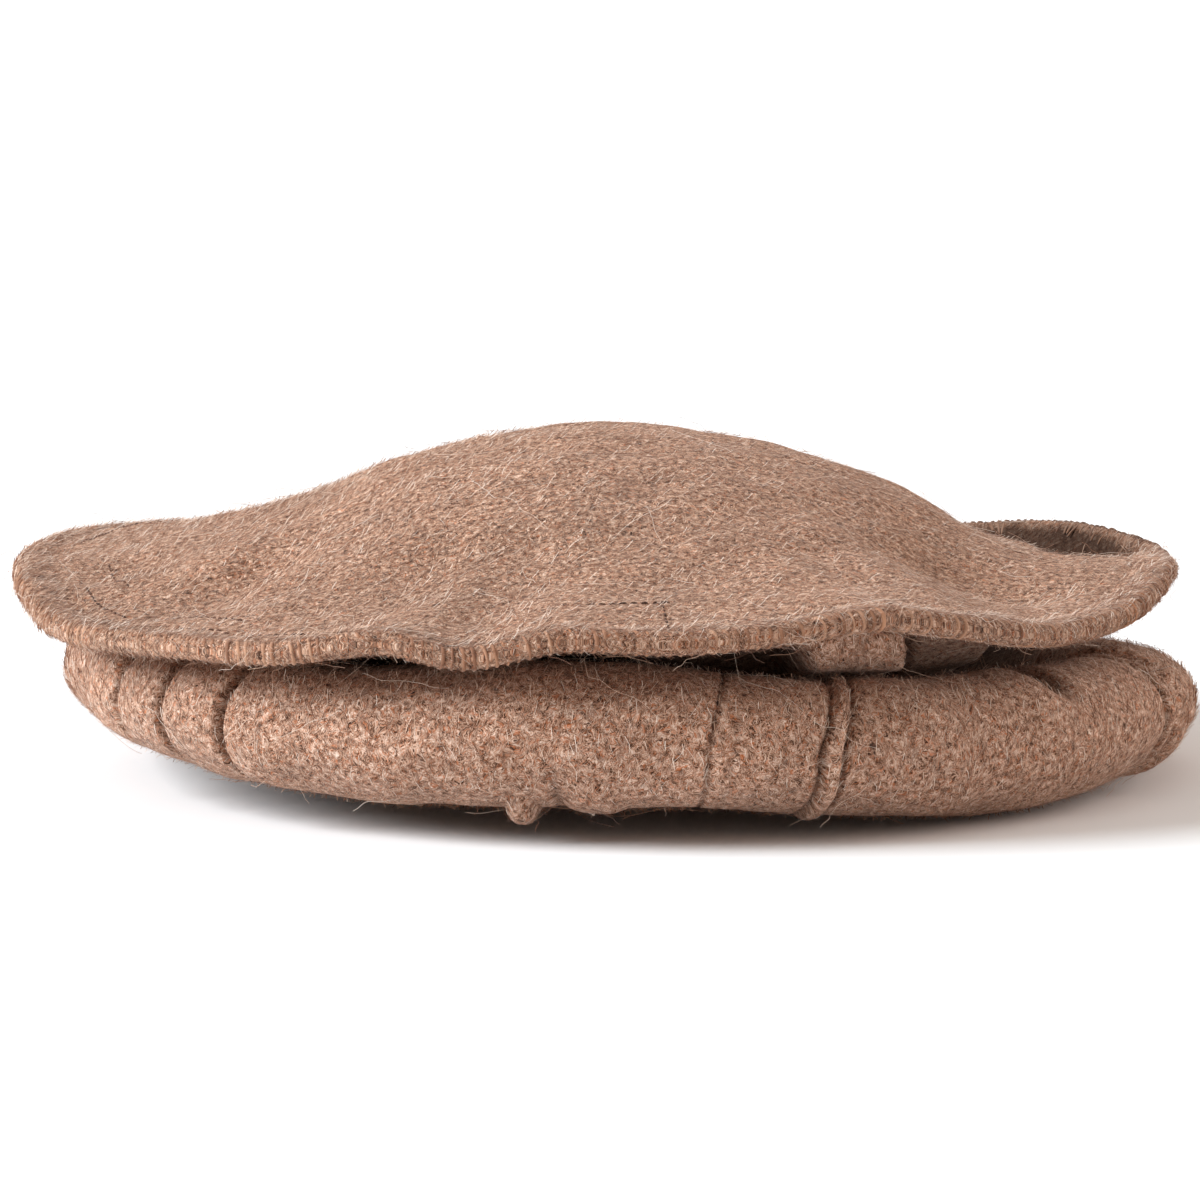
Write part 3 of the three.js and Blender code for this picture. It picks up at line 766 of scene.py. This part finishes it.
facing = turn_about(sewing, axes(sewing, up.outputs[0], out.outputs[0]), 0.0, 0.0, slant)
least = add(sewing, "ShaderNodeMath", (0, 1.0), (1, given["Uneven"]), operation="SUBTRACT").outputs[0]
most = add(sewing, "ShaderNodeMath", (0, 1.0), (1, given["Uneven"]), operation="ADD").outputs[0]
size = add(
    sewing, "ShaderNodeCombineXYZ", ("X", between(sewing, least, most, given["Seed"], 2)),
    ("Y", between(sewing, least, most, given["Seed"], 3)), ("Z", 1.0),
)
sewn = add(
    sewing, "GeometryNodeInstanceOnPoints", ("Points", steps.outputs[0]),
    ("Instance", stitch.outputs["Geometry"]), ("Rotation", facing), ("Scale", size.outputs[0]),
)
tinted = keep(sewing, sewn.outputs[0], "tint", between(sewing, 0.0, 1.0, given["Seed"], 4))
end_tree(sewing, tinted, given["Yarn"])
print("tree", sewing.name, "has", len(sewing.nodes), "nodes")


# %% Lines for the needle
def needle_lines(name, lines, closed=False):
    """Lines of edges. Each point carries the stitch's upward and forward directions, and its painted shade.
    """
    mesh = bpy.data.meshes.new(name)
    edges, first = [], 0
    for points, _, _, _ in lines:
        count = len(points)
        edges += [(first + i, first + i + 1) for i in range(count - 1)]
        edges += [(first + count - 1, first)] * closed
        first += count
    points, up, out, painted_shade = (np.concatenate([line[i] for line in lines]) for i in range(4))
    mesh.from_pydata((points * MM + np.array([crown_middle_x, 0, 0])).tolist(), edges, [])
    for label, values in (("up", up), ("out", out)):
        mesh.attributes.new(label, "FLOAT_VECTOR", "POINT").data.foreach_set("vector", values.ravel())
    mesh.attributes.new("fold", "FLOAT", "POINT").data.foreach_set("value", painted_shade)
    return mesh


def unit(vectors):
    return vectors / np.linalg.norm(vectors, axis=-1, keepdims=True)


def crown_frame(share, angle):
    """Points on the crown's upper face with its upward and outward directions."""
    reach = 0.012
    inner = polar((share - reach) * crown_radius(angle), angle, crown_top(share - reach, angle))
    outer = polar(share * crown_radius(angle), angle, crown_top(share, angle))
    beside = polar(share * crown_radius(angle + 0.4), angle + 0.4, crown_top(share, angle + 0.4))
    out = unit(outer - inner)
    return outer, unit(np.cross(out, beside - outer)), out


def hem_line(start, end, share, until):
    """A sewn line on the crown from one angle and share of the radius to another."""
    angle, share = np.linspace(start, end, 60), np.linspace(share, until, 60)
    points, up, _ = crown_frame(share, angle)
    relief = crown_relief(share, angle)
    return points + up * relief[:, None], up, unit(np.gradient(points, axis=0)), np.zeros(60)


def band_line(place, lean, start, end):
    """A sewn line across the band's outer face, between two places of its first turn."""
    turns = np.linspace(start, end, 60)
    angles = (place + leans(lean, turns))[:, None]
    here, beside = (
        side_face(angles + more, STRIP_STEPS, FLARE_STEPS, turns, towards=-1)[0][:, -60:]
        for more in (0, 0.3)
    )
    here, beside = (np.einsum("iik->ik", faces) for faces in (here, beside))
    along = unit(np.gradient(here, axis=0))
    return here, unit(np.cross(beside - here, along)), along, np.zeros(60)


RIM_SHADE = 0.8  # how dark the painted shade on the stitches over the trough is, from 0 to 1
rim_angles = np.arange(0, 360, 0.5)
rim_points, rim_up, rim_out = crown_frame(1 - CLOTH / 2 / crown_radius(rim_angles), rim_angles)
# painted shade on the stitches over the trough behind the right tip
rim_dark = RIM_SHADE * (1 - ease(np.abs(turned(rim_angles - TROUGH_ANGLE)), 12, 37))
rim_row = (rim_points - rim_up * hem_half, rim_up, rim_out, rim_dark)
rim_line = needle_lines("rim_line", [rim_row], closed=True)
HEMS = table(
    "start end share until",
    (190, 202, 0.84, 0.84), (199, 212, 0.9, 0.91), (217, 229, 0.86, 0.87), (224, 240, 0.925, 0.925),
    (269.5, 277.8, 0.81, 0.81), (277.4, 276.8, 0.81, 0.955), (300, 312, 0.93, 0.93),
    (80, 130, 0.9, 0.9), (150, 172, 0.9, 0.9),
)
hem_lines = needle_lines("hem_lines", [hem_line(*row) for row in zip(*HEMS.values())])
band_lines = needle_lines("band_lines", [band_line(277.0, 3, 0.2, 0.78)])
print("rim", round(float(np.radians(360) * CROWN_RADIUS)), "mm round, and", len(HEMS["start"]), "hem lines")

# %% [markdown]
# ## Felt as a material
#
# Close to, felt is a tangle of short fibres: pale and rust ones over brown, with dark pits between.
# One noise that is stretched along one direction makes streaks that look like combed hair. Four such
# layers in different directions, bent by a slower noise, and the highest of them at each place, look
# like a tangle. The same height drives the colour and the bump, so that pale fibres stand up and pits
# are dark. The pattern reads the `cloth` UV map, in metres, so the fibres keep their real size.
# Where `fold` is high, in creases, in the gap under the rim and in the trough behind the right tip, the
# colour is also painted darker, because the room's light fills those places more than it should.


# %% A tangle of fibres
def shader(name):
    material = bpy.data.materials.new(name)
    material.use_nodes = True
    return material, material.node_tree, material.node_tree.nodes["Principled BSDF"]


def linear(red, green, blue):
    """A colour as it is picked on a screen, 0 to 255, as light, with an alpha of 1."""
    screen = np.array([red, green, blue]) / 255
    light = np.where(screen < 0.04045, screen / 12.92, ((screen + 0.055) / 1.055) ** 2.4)
    return (*light.tolist(), 1.0)


def ramp(tree, value, *stops):
    """Colours between stops of (place, colour)."""
    node = add(tree, "ShaderNodeValToRGB", ("Fac", value))
    while len(node.color_ramp.elements) < len(stops):
        node.color_ramp.elements.new(0.5)
    for element, (place, colour) in zip(node.color_ramp.elements, stops):
        element.position = place
        element.color = colour
    return node.outputs["Color"]


def streaks(tree, place, turn, length, width, number):
    """Noise stretched along one direction, for fibres of that length and width."""
    stretched = add(
        tree, "ShaderNodeMapping", ("Vector", place), ("Rotation", (0, 0, math.radians(turn))),
        ("Location", (0.37 * number, 0.61 * number, 0)), ("Scale", (length, width, 1)),
        vector_type="TEXTURE",
    )
    noise = add(
        tree, "ShaderNodeTexNoise", ("Vector", stretched.outputs[0]), ("Scale", 1.0), ("Detail", 1.5),
        ("Roughness", 0.6), noise_dimensions="2D",
    )
    return noise.outputs[0]


def slow_noise(tree, place, size, number):
    """Noise whose patches are about `size` metres across."""
    moved = add(tree, "ShaderNodeMapping", ("Vector", place), ("Location", (1.3 * number, 0.7 * number, 0)))
    return add(
        tree, "ShaderNodeTexNoise", ("Vector", moved.outputs[0]), ("Scale", 1 / size), ("Detail", 2.0),
        ("Roughness", 0.55), noise_dimensions="2D",
    )


def maths(tree, operation, first, second, clamp=False):
    node = add(tree, "ShaderNodeMath", (0, first), (1, second), operation=operation, use_clamp=clamp)
    return node.outputs[0]


def blend_colours(tree, share, first, second, mode="MIX"):
    node = add(tree, "ShaderNodeMix", ("Factor", share), data_type="RGBA", blend_type=mode)
    for name, value in (("A", first), ("B", second)):
        socket = next(s for s in node.inputs if s.name == name and s.type == "RGBA")
        if isinstance(value, bpy.types.NodeSocket):
            tree.links.new(value, socket)
        else:
            socket.default_value = value
    return next(s for s in node.outputs if s.type == "RGBA")


def felt(name, layers, tones, rust, mottle, bump):
    """Felted wool. layers: (turn, length, width) in degrees and metres. tones: pit, brown, tan, pale."""
    material, tree, surface = shader(name)
    place = add(tree, "ShaderNodeUVMap", uv_map="cloth").outputs[0]
    bend = add(tree, "ShaderNodeVectorMath", (0, slow_noise(tree, place, 0.0034, 1).outputs["Color"]),
               (1, (0.5, 0.5, 0.5)), operation="SUBTRACT")
    bend = add(tree, "ShaderNodeVectorMath", (0, bend.outputs[0]), ("Scale", 0.0042), operation="SCALE")
    bent = add(tree, "ShaderNodeVectorMath", (0, place), (1, bend.outputs[0]), operation="ADD").outputs[0]
    height = streaks(tree, bent, *layers[0], 1)
    for number, layer in enumerate(layers[1:], 2):
        height = maths(tree, "MAXIMUM", height, streaks(tree, bent, *layer, number))
    lumps = slow_noise(tree, place, 0.0016, 2).outputs[0]
    height = maths(tree, "ADD", height, maths(tree, "MULTIPLY", maths(tree, "SUBTRACT", lumps, 0.5), 0.35))
    colour = ramp(tree, height, *zip((0.49, 0.58, 0.66, 0.77), tones))
    flecks = streaks(tree, bent, layers[0][0] + 40, 0.0013, 0.0003, 11)
    flecks = maths(tree, "MULTIPLY", maths(tree, "SUBTRACT", flecks, 0.55), 5.0, clamp=True)
    colour = blend_colours(tree, maths(tree, "MULTIPLY", flecks, 0.72), colour, rust)
    greys = slow_noise(tree, place, 0.0026, 4).outputs[0]
    greys = maths(tree, "MULTIPLY", maths(tree, "SUBTRACT", greys, 0.56), 4.0, clamp=True)
    colour = blend_colours(tree, maths(tree, "MULTIPLY", greys, 0.3), colour, linear(128, 112, 104))
    patches = slow_noise(tree, place, 0.013, 5).outputs[0]
    wide = slow_noise(tree, place, 0.045, 6).outputs[0]
    patches, wide = (maths(tree, "MULTIPLY", noise, mottle) for noise in (patches, wide))
    shade = maths(tree, "ADD", patches, wide)
    shade = maths(tree, "ADD", shade, 1 - mottle)
    tint = add(tree, "ShaderNodeCombineColor", (0, shade), (1, shade), (2, shade)).outputs[0]
    colour = blend_colours(tree, 1.0, colour, tint, "MULTIPLY")
    # Painted shade: where `fold` is high the colour turns near black and the sheen fades.
    painted_shade = add(tree, "ShaderNodeAttribute", attribute_name="fold").outputs["Fac"]
    colour = blend_colours(tree, maths(tree, "MULTIPLY", painted_shade, 0.9), colour, linear(40, 26, 20))
    sheen = maths(tree, "MULTIPLY", maths(tree, "SUBTRACT", 1.0, painted_shade), 0.22)
    tree.links.new(sheen, surface.inputs["Sheen Weight"])
    tree.links.new(colour, surface.inputs["Base Color"])
    relief = add(
        tree, "ShaderNodeBump", ("Strength", bump), ("Distance", 0.0006), ("Height", height),
    )
    tree.links.new(relief.outputs[0], surface.inputs["Normal"])
    surface.inputs["Roughness"].default_value = 0.92
    surface.inputs["Specular IOR Level"].default_value = 0.05
    surface.inputs["Sheen Roughness"].default_value = 0.45
    surface.inputs["Sheen Tint"].default_value = linear(238, 220, 207)
    print(name, "has", len(tree.nodes), "nodes")
    return material


def yarn(name, stops, roughness=0.85):
    """Wool fibres or thread whose colour is drawn for each one from its `tint`, with painted shade where
    `fold` is high.
    """
    material, tree, surface = shader(name)
    tint = add(tree, "ShaderNodeAttribute", attribute_name="tint").outputs["Fac"]
    painted_shade = add(tree, "ShaderNodeAttribute", attribute_name="fold").outputs["Fac"]
    # painted shade on the yarn where `fold` is high
    shade = maths(tree, "MULTIPLY", painted_shade, 0.75)
    colour = blend_colours(tree, shade, ramp(tree, tint, *stops), linear(48, 32, 25))
    tree.links.new(colour, surface.inputs["Base Color"])
    surface.inputs["Roughness"].default_value = roughness
    surface.inputs["Specular IOR Level"].default_value = 0.1
    surface.inputs["Sheen Weight"].default_value = 0.15
    return material


# %% Mix the finishes
PIT, BROWN = linear(60, 38, 29), linear(150, 110, 88)
TAN, PALE = linear(198, 154, 126), linear(237, 210, 189)
RUST = linear(192, 112, 70)
crown_felt = felt(
    "crown_felt",
    [(3, 0.0013, 0.00021), (-28, 0.0010, 0.0002), (34, 0.0010, 0.0002), (88, 0.0008, 0.00019)],
    (PIT, BROWN, TAN, PALE), RUST, mottle=0.34, bump=0.8,
)
side_felt = felt(
    "side_felt",
    [(90, 0.0010, 0.0002), (62, 0.0009, 0.00018), (118, 0.0009, 0.00018), (14, 0.0006, 0.00017)],
    (PIT, BROWN, linear(192, 152, 128), linear(227, 202, 185)), RUST, mottle=0.3, bump=0.5,
)
overcast_yarn = yarn(
    "overcast_yarn",
    [(0, linear(126, 88, 68)), (0.35, linear(154, 111, 86)), (0.8, linear(180, 139, 113)),
     (1, linear(174, 122, 90))],
)
dark_thread = yarn("dark_thread", [(0, linear(64, 44, 36)), (1, linear(116, 84, 68))])
loose_wool = yarn(
    "loose_wool",
    [(0, linear(82, 54, 41)), (0.25, linear(156, 110, 86)), (0.6, linear(207, 171, 146)),
     (1, linear(241, 224, 209))],
    roughness=0.7,
)
crown.data.materials.append(crown_felt)
side.data.materials.append(side_felt)

# %% Sew the rim and the dark lines
rim_stitches = grow(
    "rim_stitches", rim_line, sewing, Stitch=overcast, Pitch=0.0024, Lean=0.55, Uneven=0.35, Seed=5,
    Yarn=overcast_yarn,
)
hem_stitches = grow(
    "hem_stitches", hem_lines, sewing, Stitch=running, Pitch=0.0023, Lean=0.1, Uneven=0.3, Seed=6,
    Yarn=dark_thread,
)
band_stitches = grow(
    "band_stitches", band_lines, sewing, Stitch=running, Pitch=0.002, Lean=0.1, Uneven=0.3, Seed=7,
    Yarn=dark_thread,
)

# %% [markdown]
# ## Loose fibres
#
# What tells felt from plaster is its outline: thousands of fine fibres stand off the cloth, and long
# stray hairs cross it. One tree makes both. It scatters points where the cloth's `nap` allows, puts a
# straight fibre on each, bends all of them with a noise, pulls every point back to the cloth and lifts
# it a little, more towards the fibre's tip.

# %% The tree that grows fibres
wool, given = new_tree(
    "loose_fibres", Cloth="Object", Density="Float", Shortest="Float", Longest="Float", Thickness="Float",
    Joints="Int", Wander="Float", Lay="Vector", Lift="Float", Curl="Float", CurlSize="Float", Seed="Int",
    Round="Bool", Wool="Material",
)
cloth = add(wool, "GeometryNodeObjectInfo", ("Object", given["Cloth"])).outputs["Geometry"]
nap = add(wool, "GeometryNodeInputNamedAttribute", ("Name", "nap"), data_type="FLOAT").outputs[0]
amount = add(wool, "ShaderNodeMath", (0, nap), (1, given["Density"]), operation="MULTIPLY").outputs[0]
scattered = add(
    wool, "GeometryNodeDistributePointsOnFaces", ("Mesh", cloth), ("Density", amount),
    ("Seed", given["Seed"]),
)
facing = axes(wool, scattered.outputs["Normal"], given["Lay"])
least = add(wool, "ShaderNodeMath", (0, given["Wander"]), (1, -1.0), operation="MULTIPLY").outputs[0]
facing = turn_about(wool, facing, 0.0, 0.0, between(wool, least, given["Wander"], given["Seed"], 1))
straight = add(wool, "GeometryNodeCurvePrimitiveLine", ("Start", (0, 0, 0)), ("End", (1, 0, 0)))
jointed = add(wool, "GeometryNodeResampleCurve", ("Curve", straight.outputs[0]), ("Count", given["Joints"]))
fibre_length = between(wool, given["Shortest"], given["Longest"], given["Seed"], 2)
placed = add(
    wool, "GeometryNodeInstanceOnPoints", ("Points", scattered.outputs["Points"]),
    ("Instance", jointed.outputs[0]), ("Rotation", facing), ("Scale", fibre_length),
)
coloured = keep(wool, placed.outputs[0], "tint", between(wool, 0.0, 1.0, given["Seed"], 3))
coloured = keep(wool, coloured, "rise", between(wool, 0.15, 1.0, given["Seed"], 4))
coloured = keep(wool, coloured, "own", between(wool, 0.0, 100.0, given["Seed"], 5))
fibres = add(wool, "GeometryNodeRealizeInstances", ("Geometry", coloured)).outputs[0]

place = add(wool, "GeometryNodeInputPosition").outputs[0]
along = add(wool, "GeometryNodeSplineParameter").outputs["Factor"]
own = add(wool, "GeometryNodeInputNamedAttribute", ("Name", "own"), data_type="FLOAT").outputs[0]
rise = add(wool, "GeometryNodeInputNamedAttribute", ("Name", "rise"), data_type="FLOAT").outputs[0]
bends = add(
    wool, "ShaderNodeTexNoise", ("Vector", place), ("W", own), ("Scale", given["CurlSize"]),
    ("Detail", 1.0), noise_dimensions="4D",
)
bend = add(
    wool, "ShaderNodeVectorMath", (0, bends.outputs["Color"]), (1, (0.5, 0.5, 0.5)), operation="SUBTRACT",
)
strength = add(wool, "ShaderNodeMath", (0, given["Curl"]), (1, 2.0), operation="MULTIPLY").outputs[0]
bend = add(wool, "ShaderNodeVectorMath", (0, bend.outputs[0]), ("Scale", strength), operation="SCALE")
bent = add(wool, "ShaderNodeVectorMath", (0, place), (1, bend.outputs[0]), operation="ADD").outputs[0]
nearest = add(wool, "GeometryNodeProximity", ("Source Position", bent), target_element="FACES")
wool.links.new(cloth, nearest.inputs[0])
normal = add(wool, "GeometryNodeInputNormal").outputs[0]
upright = add(wool, "GeometryNodeSampleNearestSurface", ("Mesh", cloth), data_type="FLOAT_VECTOR")
wool.links.new(normal, next(s for s in upright.inputs if s.name == "Value"))
wool.links.new(bent, next(s for s in upright.inputs if s.name == "Sample Position"))
wave = add(wool, "ShaderNodeMath", (0, bends.outputs[0]), (1, 1.6), operation="MULTIPLY").outputs[0]
height = add(wool, "ShaderNodeMath", (0, along), (1, 1.4), operation="POWER").outputs[0]
for factor in (rise, wave, given["Lift"]):
    height = add(wool, "ShaderNodeMath", (0, height), (1, factor), operation="MULTIPLY").outputs[0]
height = add(wool, "ShaderNodeMath", (0, height), (1, 0.0001), operation="ADD").outputs[0]
off = add(wool, "ShaderNodeVectorMath", (0, upright.outputs["Value"]), ("Scale", height), operation="SCALE")
final = add(
    wool, "ShaderNodeVectorMath", (0, nearest.outputs["Position"]), (1, off.outputs[0]), operation="ADD",
)
above = add(wool, "ShaderNodeVectorMath", (0, final.outputs[0]), (1, (-1, -1, 0.0003)), operation="MAXIMUM")
shaped = add(wool, "GeometryNodeSetPosition", ("Geometry", fibres), ("Position", above.outputs[0]))

half_width = add(wool, "ShaderNodeMath", (0, given["Thickness"]), (1, 0.5), operation="MULTIPLY").outputs[0]
minus = add(wool, "ShaderNodeMath", (0, half_width), (1, -1.0), operation="MULTIPLY").outputs[0]
ends = [add(wool, "ShaderNodeCombineXYZ", ("X", value)).outputs[0] for value in (minus, half_width)]
ribbon = add(wool, "GeometryNodeCurvePrimitiveLine", ("Start", ends[0]), ("End", ends[1])).outputs[0]
ring = add(wool, "GeometryNodeCurvePrimitiveCircle", ("Resolution", 3), ("Radius", half_width)).outputs[0]
choice = add(
    wool, "GeometryNodeSwitch", ("Switch", given["Round"]), ("False", ribbon), ("True", ring),
    input_type="GEOMETRY",
)
solid = add(
    wool, "GeometryNodeCurveToMesh", ("Curve", shaped.outputs[0]), ("Profile Curve", choice.outputs[0]),
)
end_tree(wool, solid.outputs[0], given["Wool"])
print("tree", wool.name, "has", len(wool.nodes), "nodes")

# %% Grow the nap and the stray hairs
FIBRE = 0.00012


def wool_on(name, cloth, seed, **values):
    return grow(name, None, wool, Cloth=cloth, Seed=seed, Wool=loose_wool, **values)


nap_sizes = {"Shortest": 0.0011, "Longest": 0.0038, "Joints": 3, "Thickness": FIBRE, "Lift": 0.0013,
             "Curl": 0.0008, "CurlSize": 500.0, "Round": False}
hair_sizes = {"Shortest": 0.006, "Longest": 0.022, "Joints": 17, "Wander": 3.1, "Thickness": FIBRE * 0.75,
              "Lift": 0.0045, "Curl": 0.0026, "CurlSize": 120.0, "Round": True}
right_to_left = (1.0, 0.0, 0.0)
crown_nap = wool_on("crown_nap", crown, 21, Density=500000.0, Lay=right_to_left, Wander=1.15, **nap_sizes)
side_nap = wool_on("side_nap", side, 22, Density=520000.0, Lay=(0.0, 0.0, 1.0), Wander=1.2, **nap_sizes)
crown_hairs = wool_on("crown_hairs", crown, 23, Density=7000.0, Lay=right_to_left, **hair_sizes)
side_hairs = wool_on("side_hairs", side, 24, Density=7000.0, Lay=(0.0, 0.0, 1.0), **hair_sizes)

# %% [markdown]
# ## Floor and light
#
# The hat lies on a white table in a pale room. A broad, slightly cool light comes from the left, a
# little above the hat, so that the left end is pale and the right end is in shade. A weak one from the
# right and a little behind gives the right end its edge. The room's own warm light fills in the rest.

# %% Floor and light
FLOOR_SIDE = 30
floor_mesh = bpy.data.meshes.new("floor")
corner = FLOOR_SIDE / 2
corners = [(-corner, -corner, 0), (corner, -corner, 0), (corner, corner, 0), (-corner, corner, 0)]
floor_mesh.from_pydata(corners, [], [(0, 1, 2, 3)])
floor = bpy.data.objects.new("floor", floor_mesh)
bpy.context.scene.collection.objects.link(floor)
floor_paint, _, paint = shader("floor_paint")
paint.inputs["Base Color"].default_value = (0.95, 0.95, 0.95, 1)
paint.inputs["Roughness"].default_value = 0.8
floor_mesh.materials.append(floor_paint)

room = bpy.data.worlds.new("pale_room")
room.use_nodes = True
room.node_tree.nodes["Background"].inputs["Color"].default_value = (1, 0.9, 0.83, 1)
room.node_tree.nodes["Background"].inputs["Strength"].default_value = 0.54
bpy.context.scene.world = room


def soft_sun(name, azimuth, elevation, softness, power, colour):
    """A broad soft light from far off. Azimuth 0 is the camera's side, and less than 0 is to its left."""
    light = bpy.data.lights.new(name, "SUN")
    light.angle = math.radians(softness)
    light.energy = power
    light.color = colour
    lamp = bpy.data.objects.new(name, light)
    turn, tilt = math.radians(azimuth), math.radians(elevation)
    away = Vector((math.sin(turn) * math.cos(tilt), -math.cos(turn) * math.cos(tilt), math.sin(tilt)))
    lamp.location = away
    lamp.rotation_euler = (-away).to_track_quat("-Z", "Y").to_euler()
    bpy.context.scene.collection.objects.link(lamp)
    print(name, "shines from", [round(c, 2) for c in away])


soft_sun("left_window", azimuth=-81, elevation=29, softness=34, power=5.45, colour=(0.86, 0.94, 1))
soft_sun("right_wall", azimuth=108, elevation=18, softness=50, power=1.5, colour=(1, 0.96, 0.93))
bpy.context.scene.view_settings.view_transform = "Standard"

# %% [markdown]
# ## Hand over
#
# Every piece rides on the one body of the hat. The two solids of the frame are hidden, so that the dressed
# cloth stands in their place.

# %% Hand over the pieces
for piece, slot in (
    (crown, "crown_felt"), (crown_nap, "crown_felt"), (crown_hairs, "crown_felt"),
    (rim_stitches, "crown_felt"), (hem_stitches, "crown_felt"), (band_stitches, "side_felt"),
    (side, "side_felt"), (side_nap, "side_felt"), (side_hairs, "side_felt"),
):
    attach(piece, "root")
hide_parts("crown")
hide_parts("rolled_side")
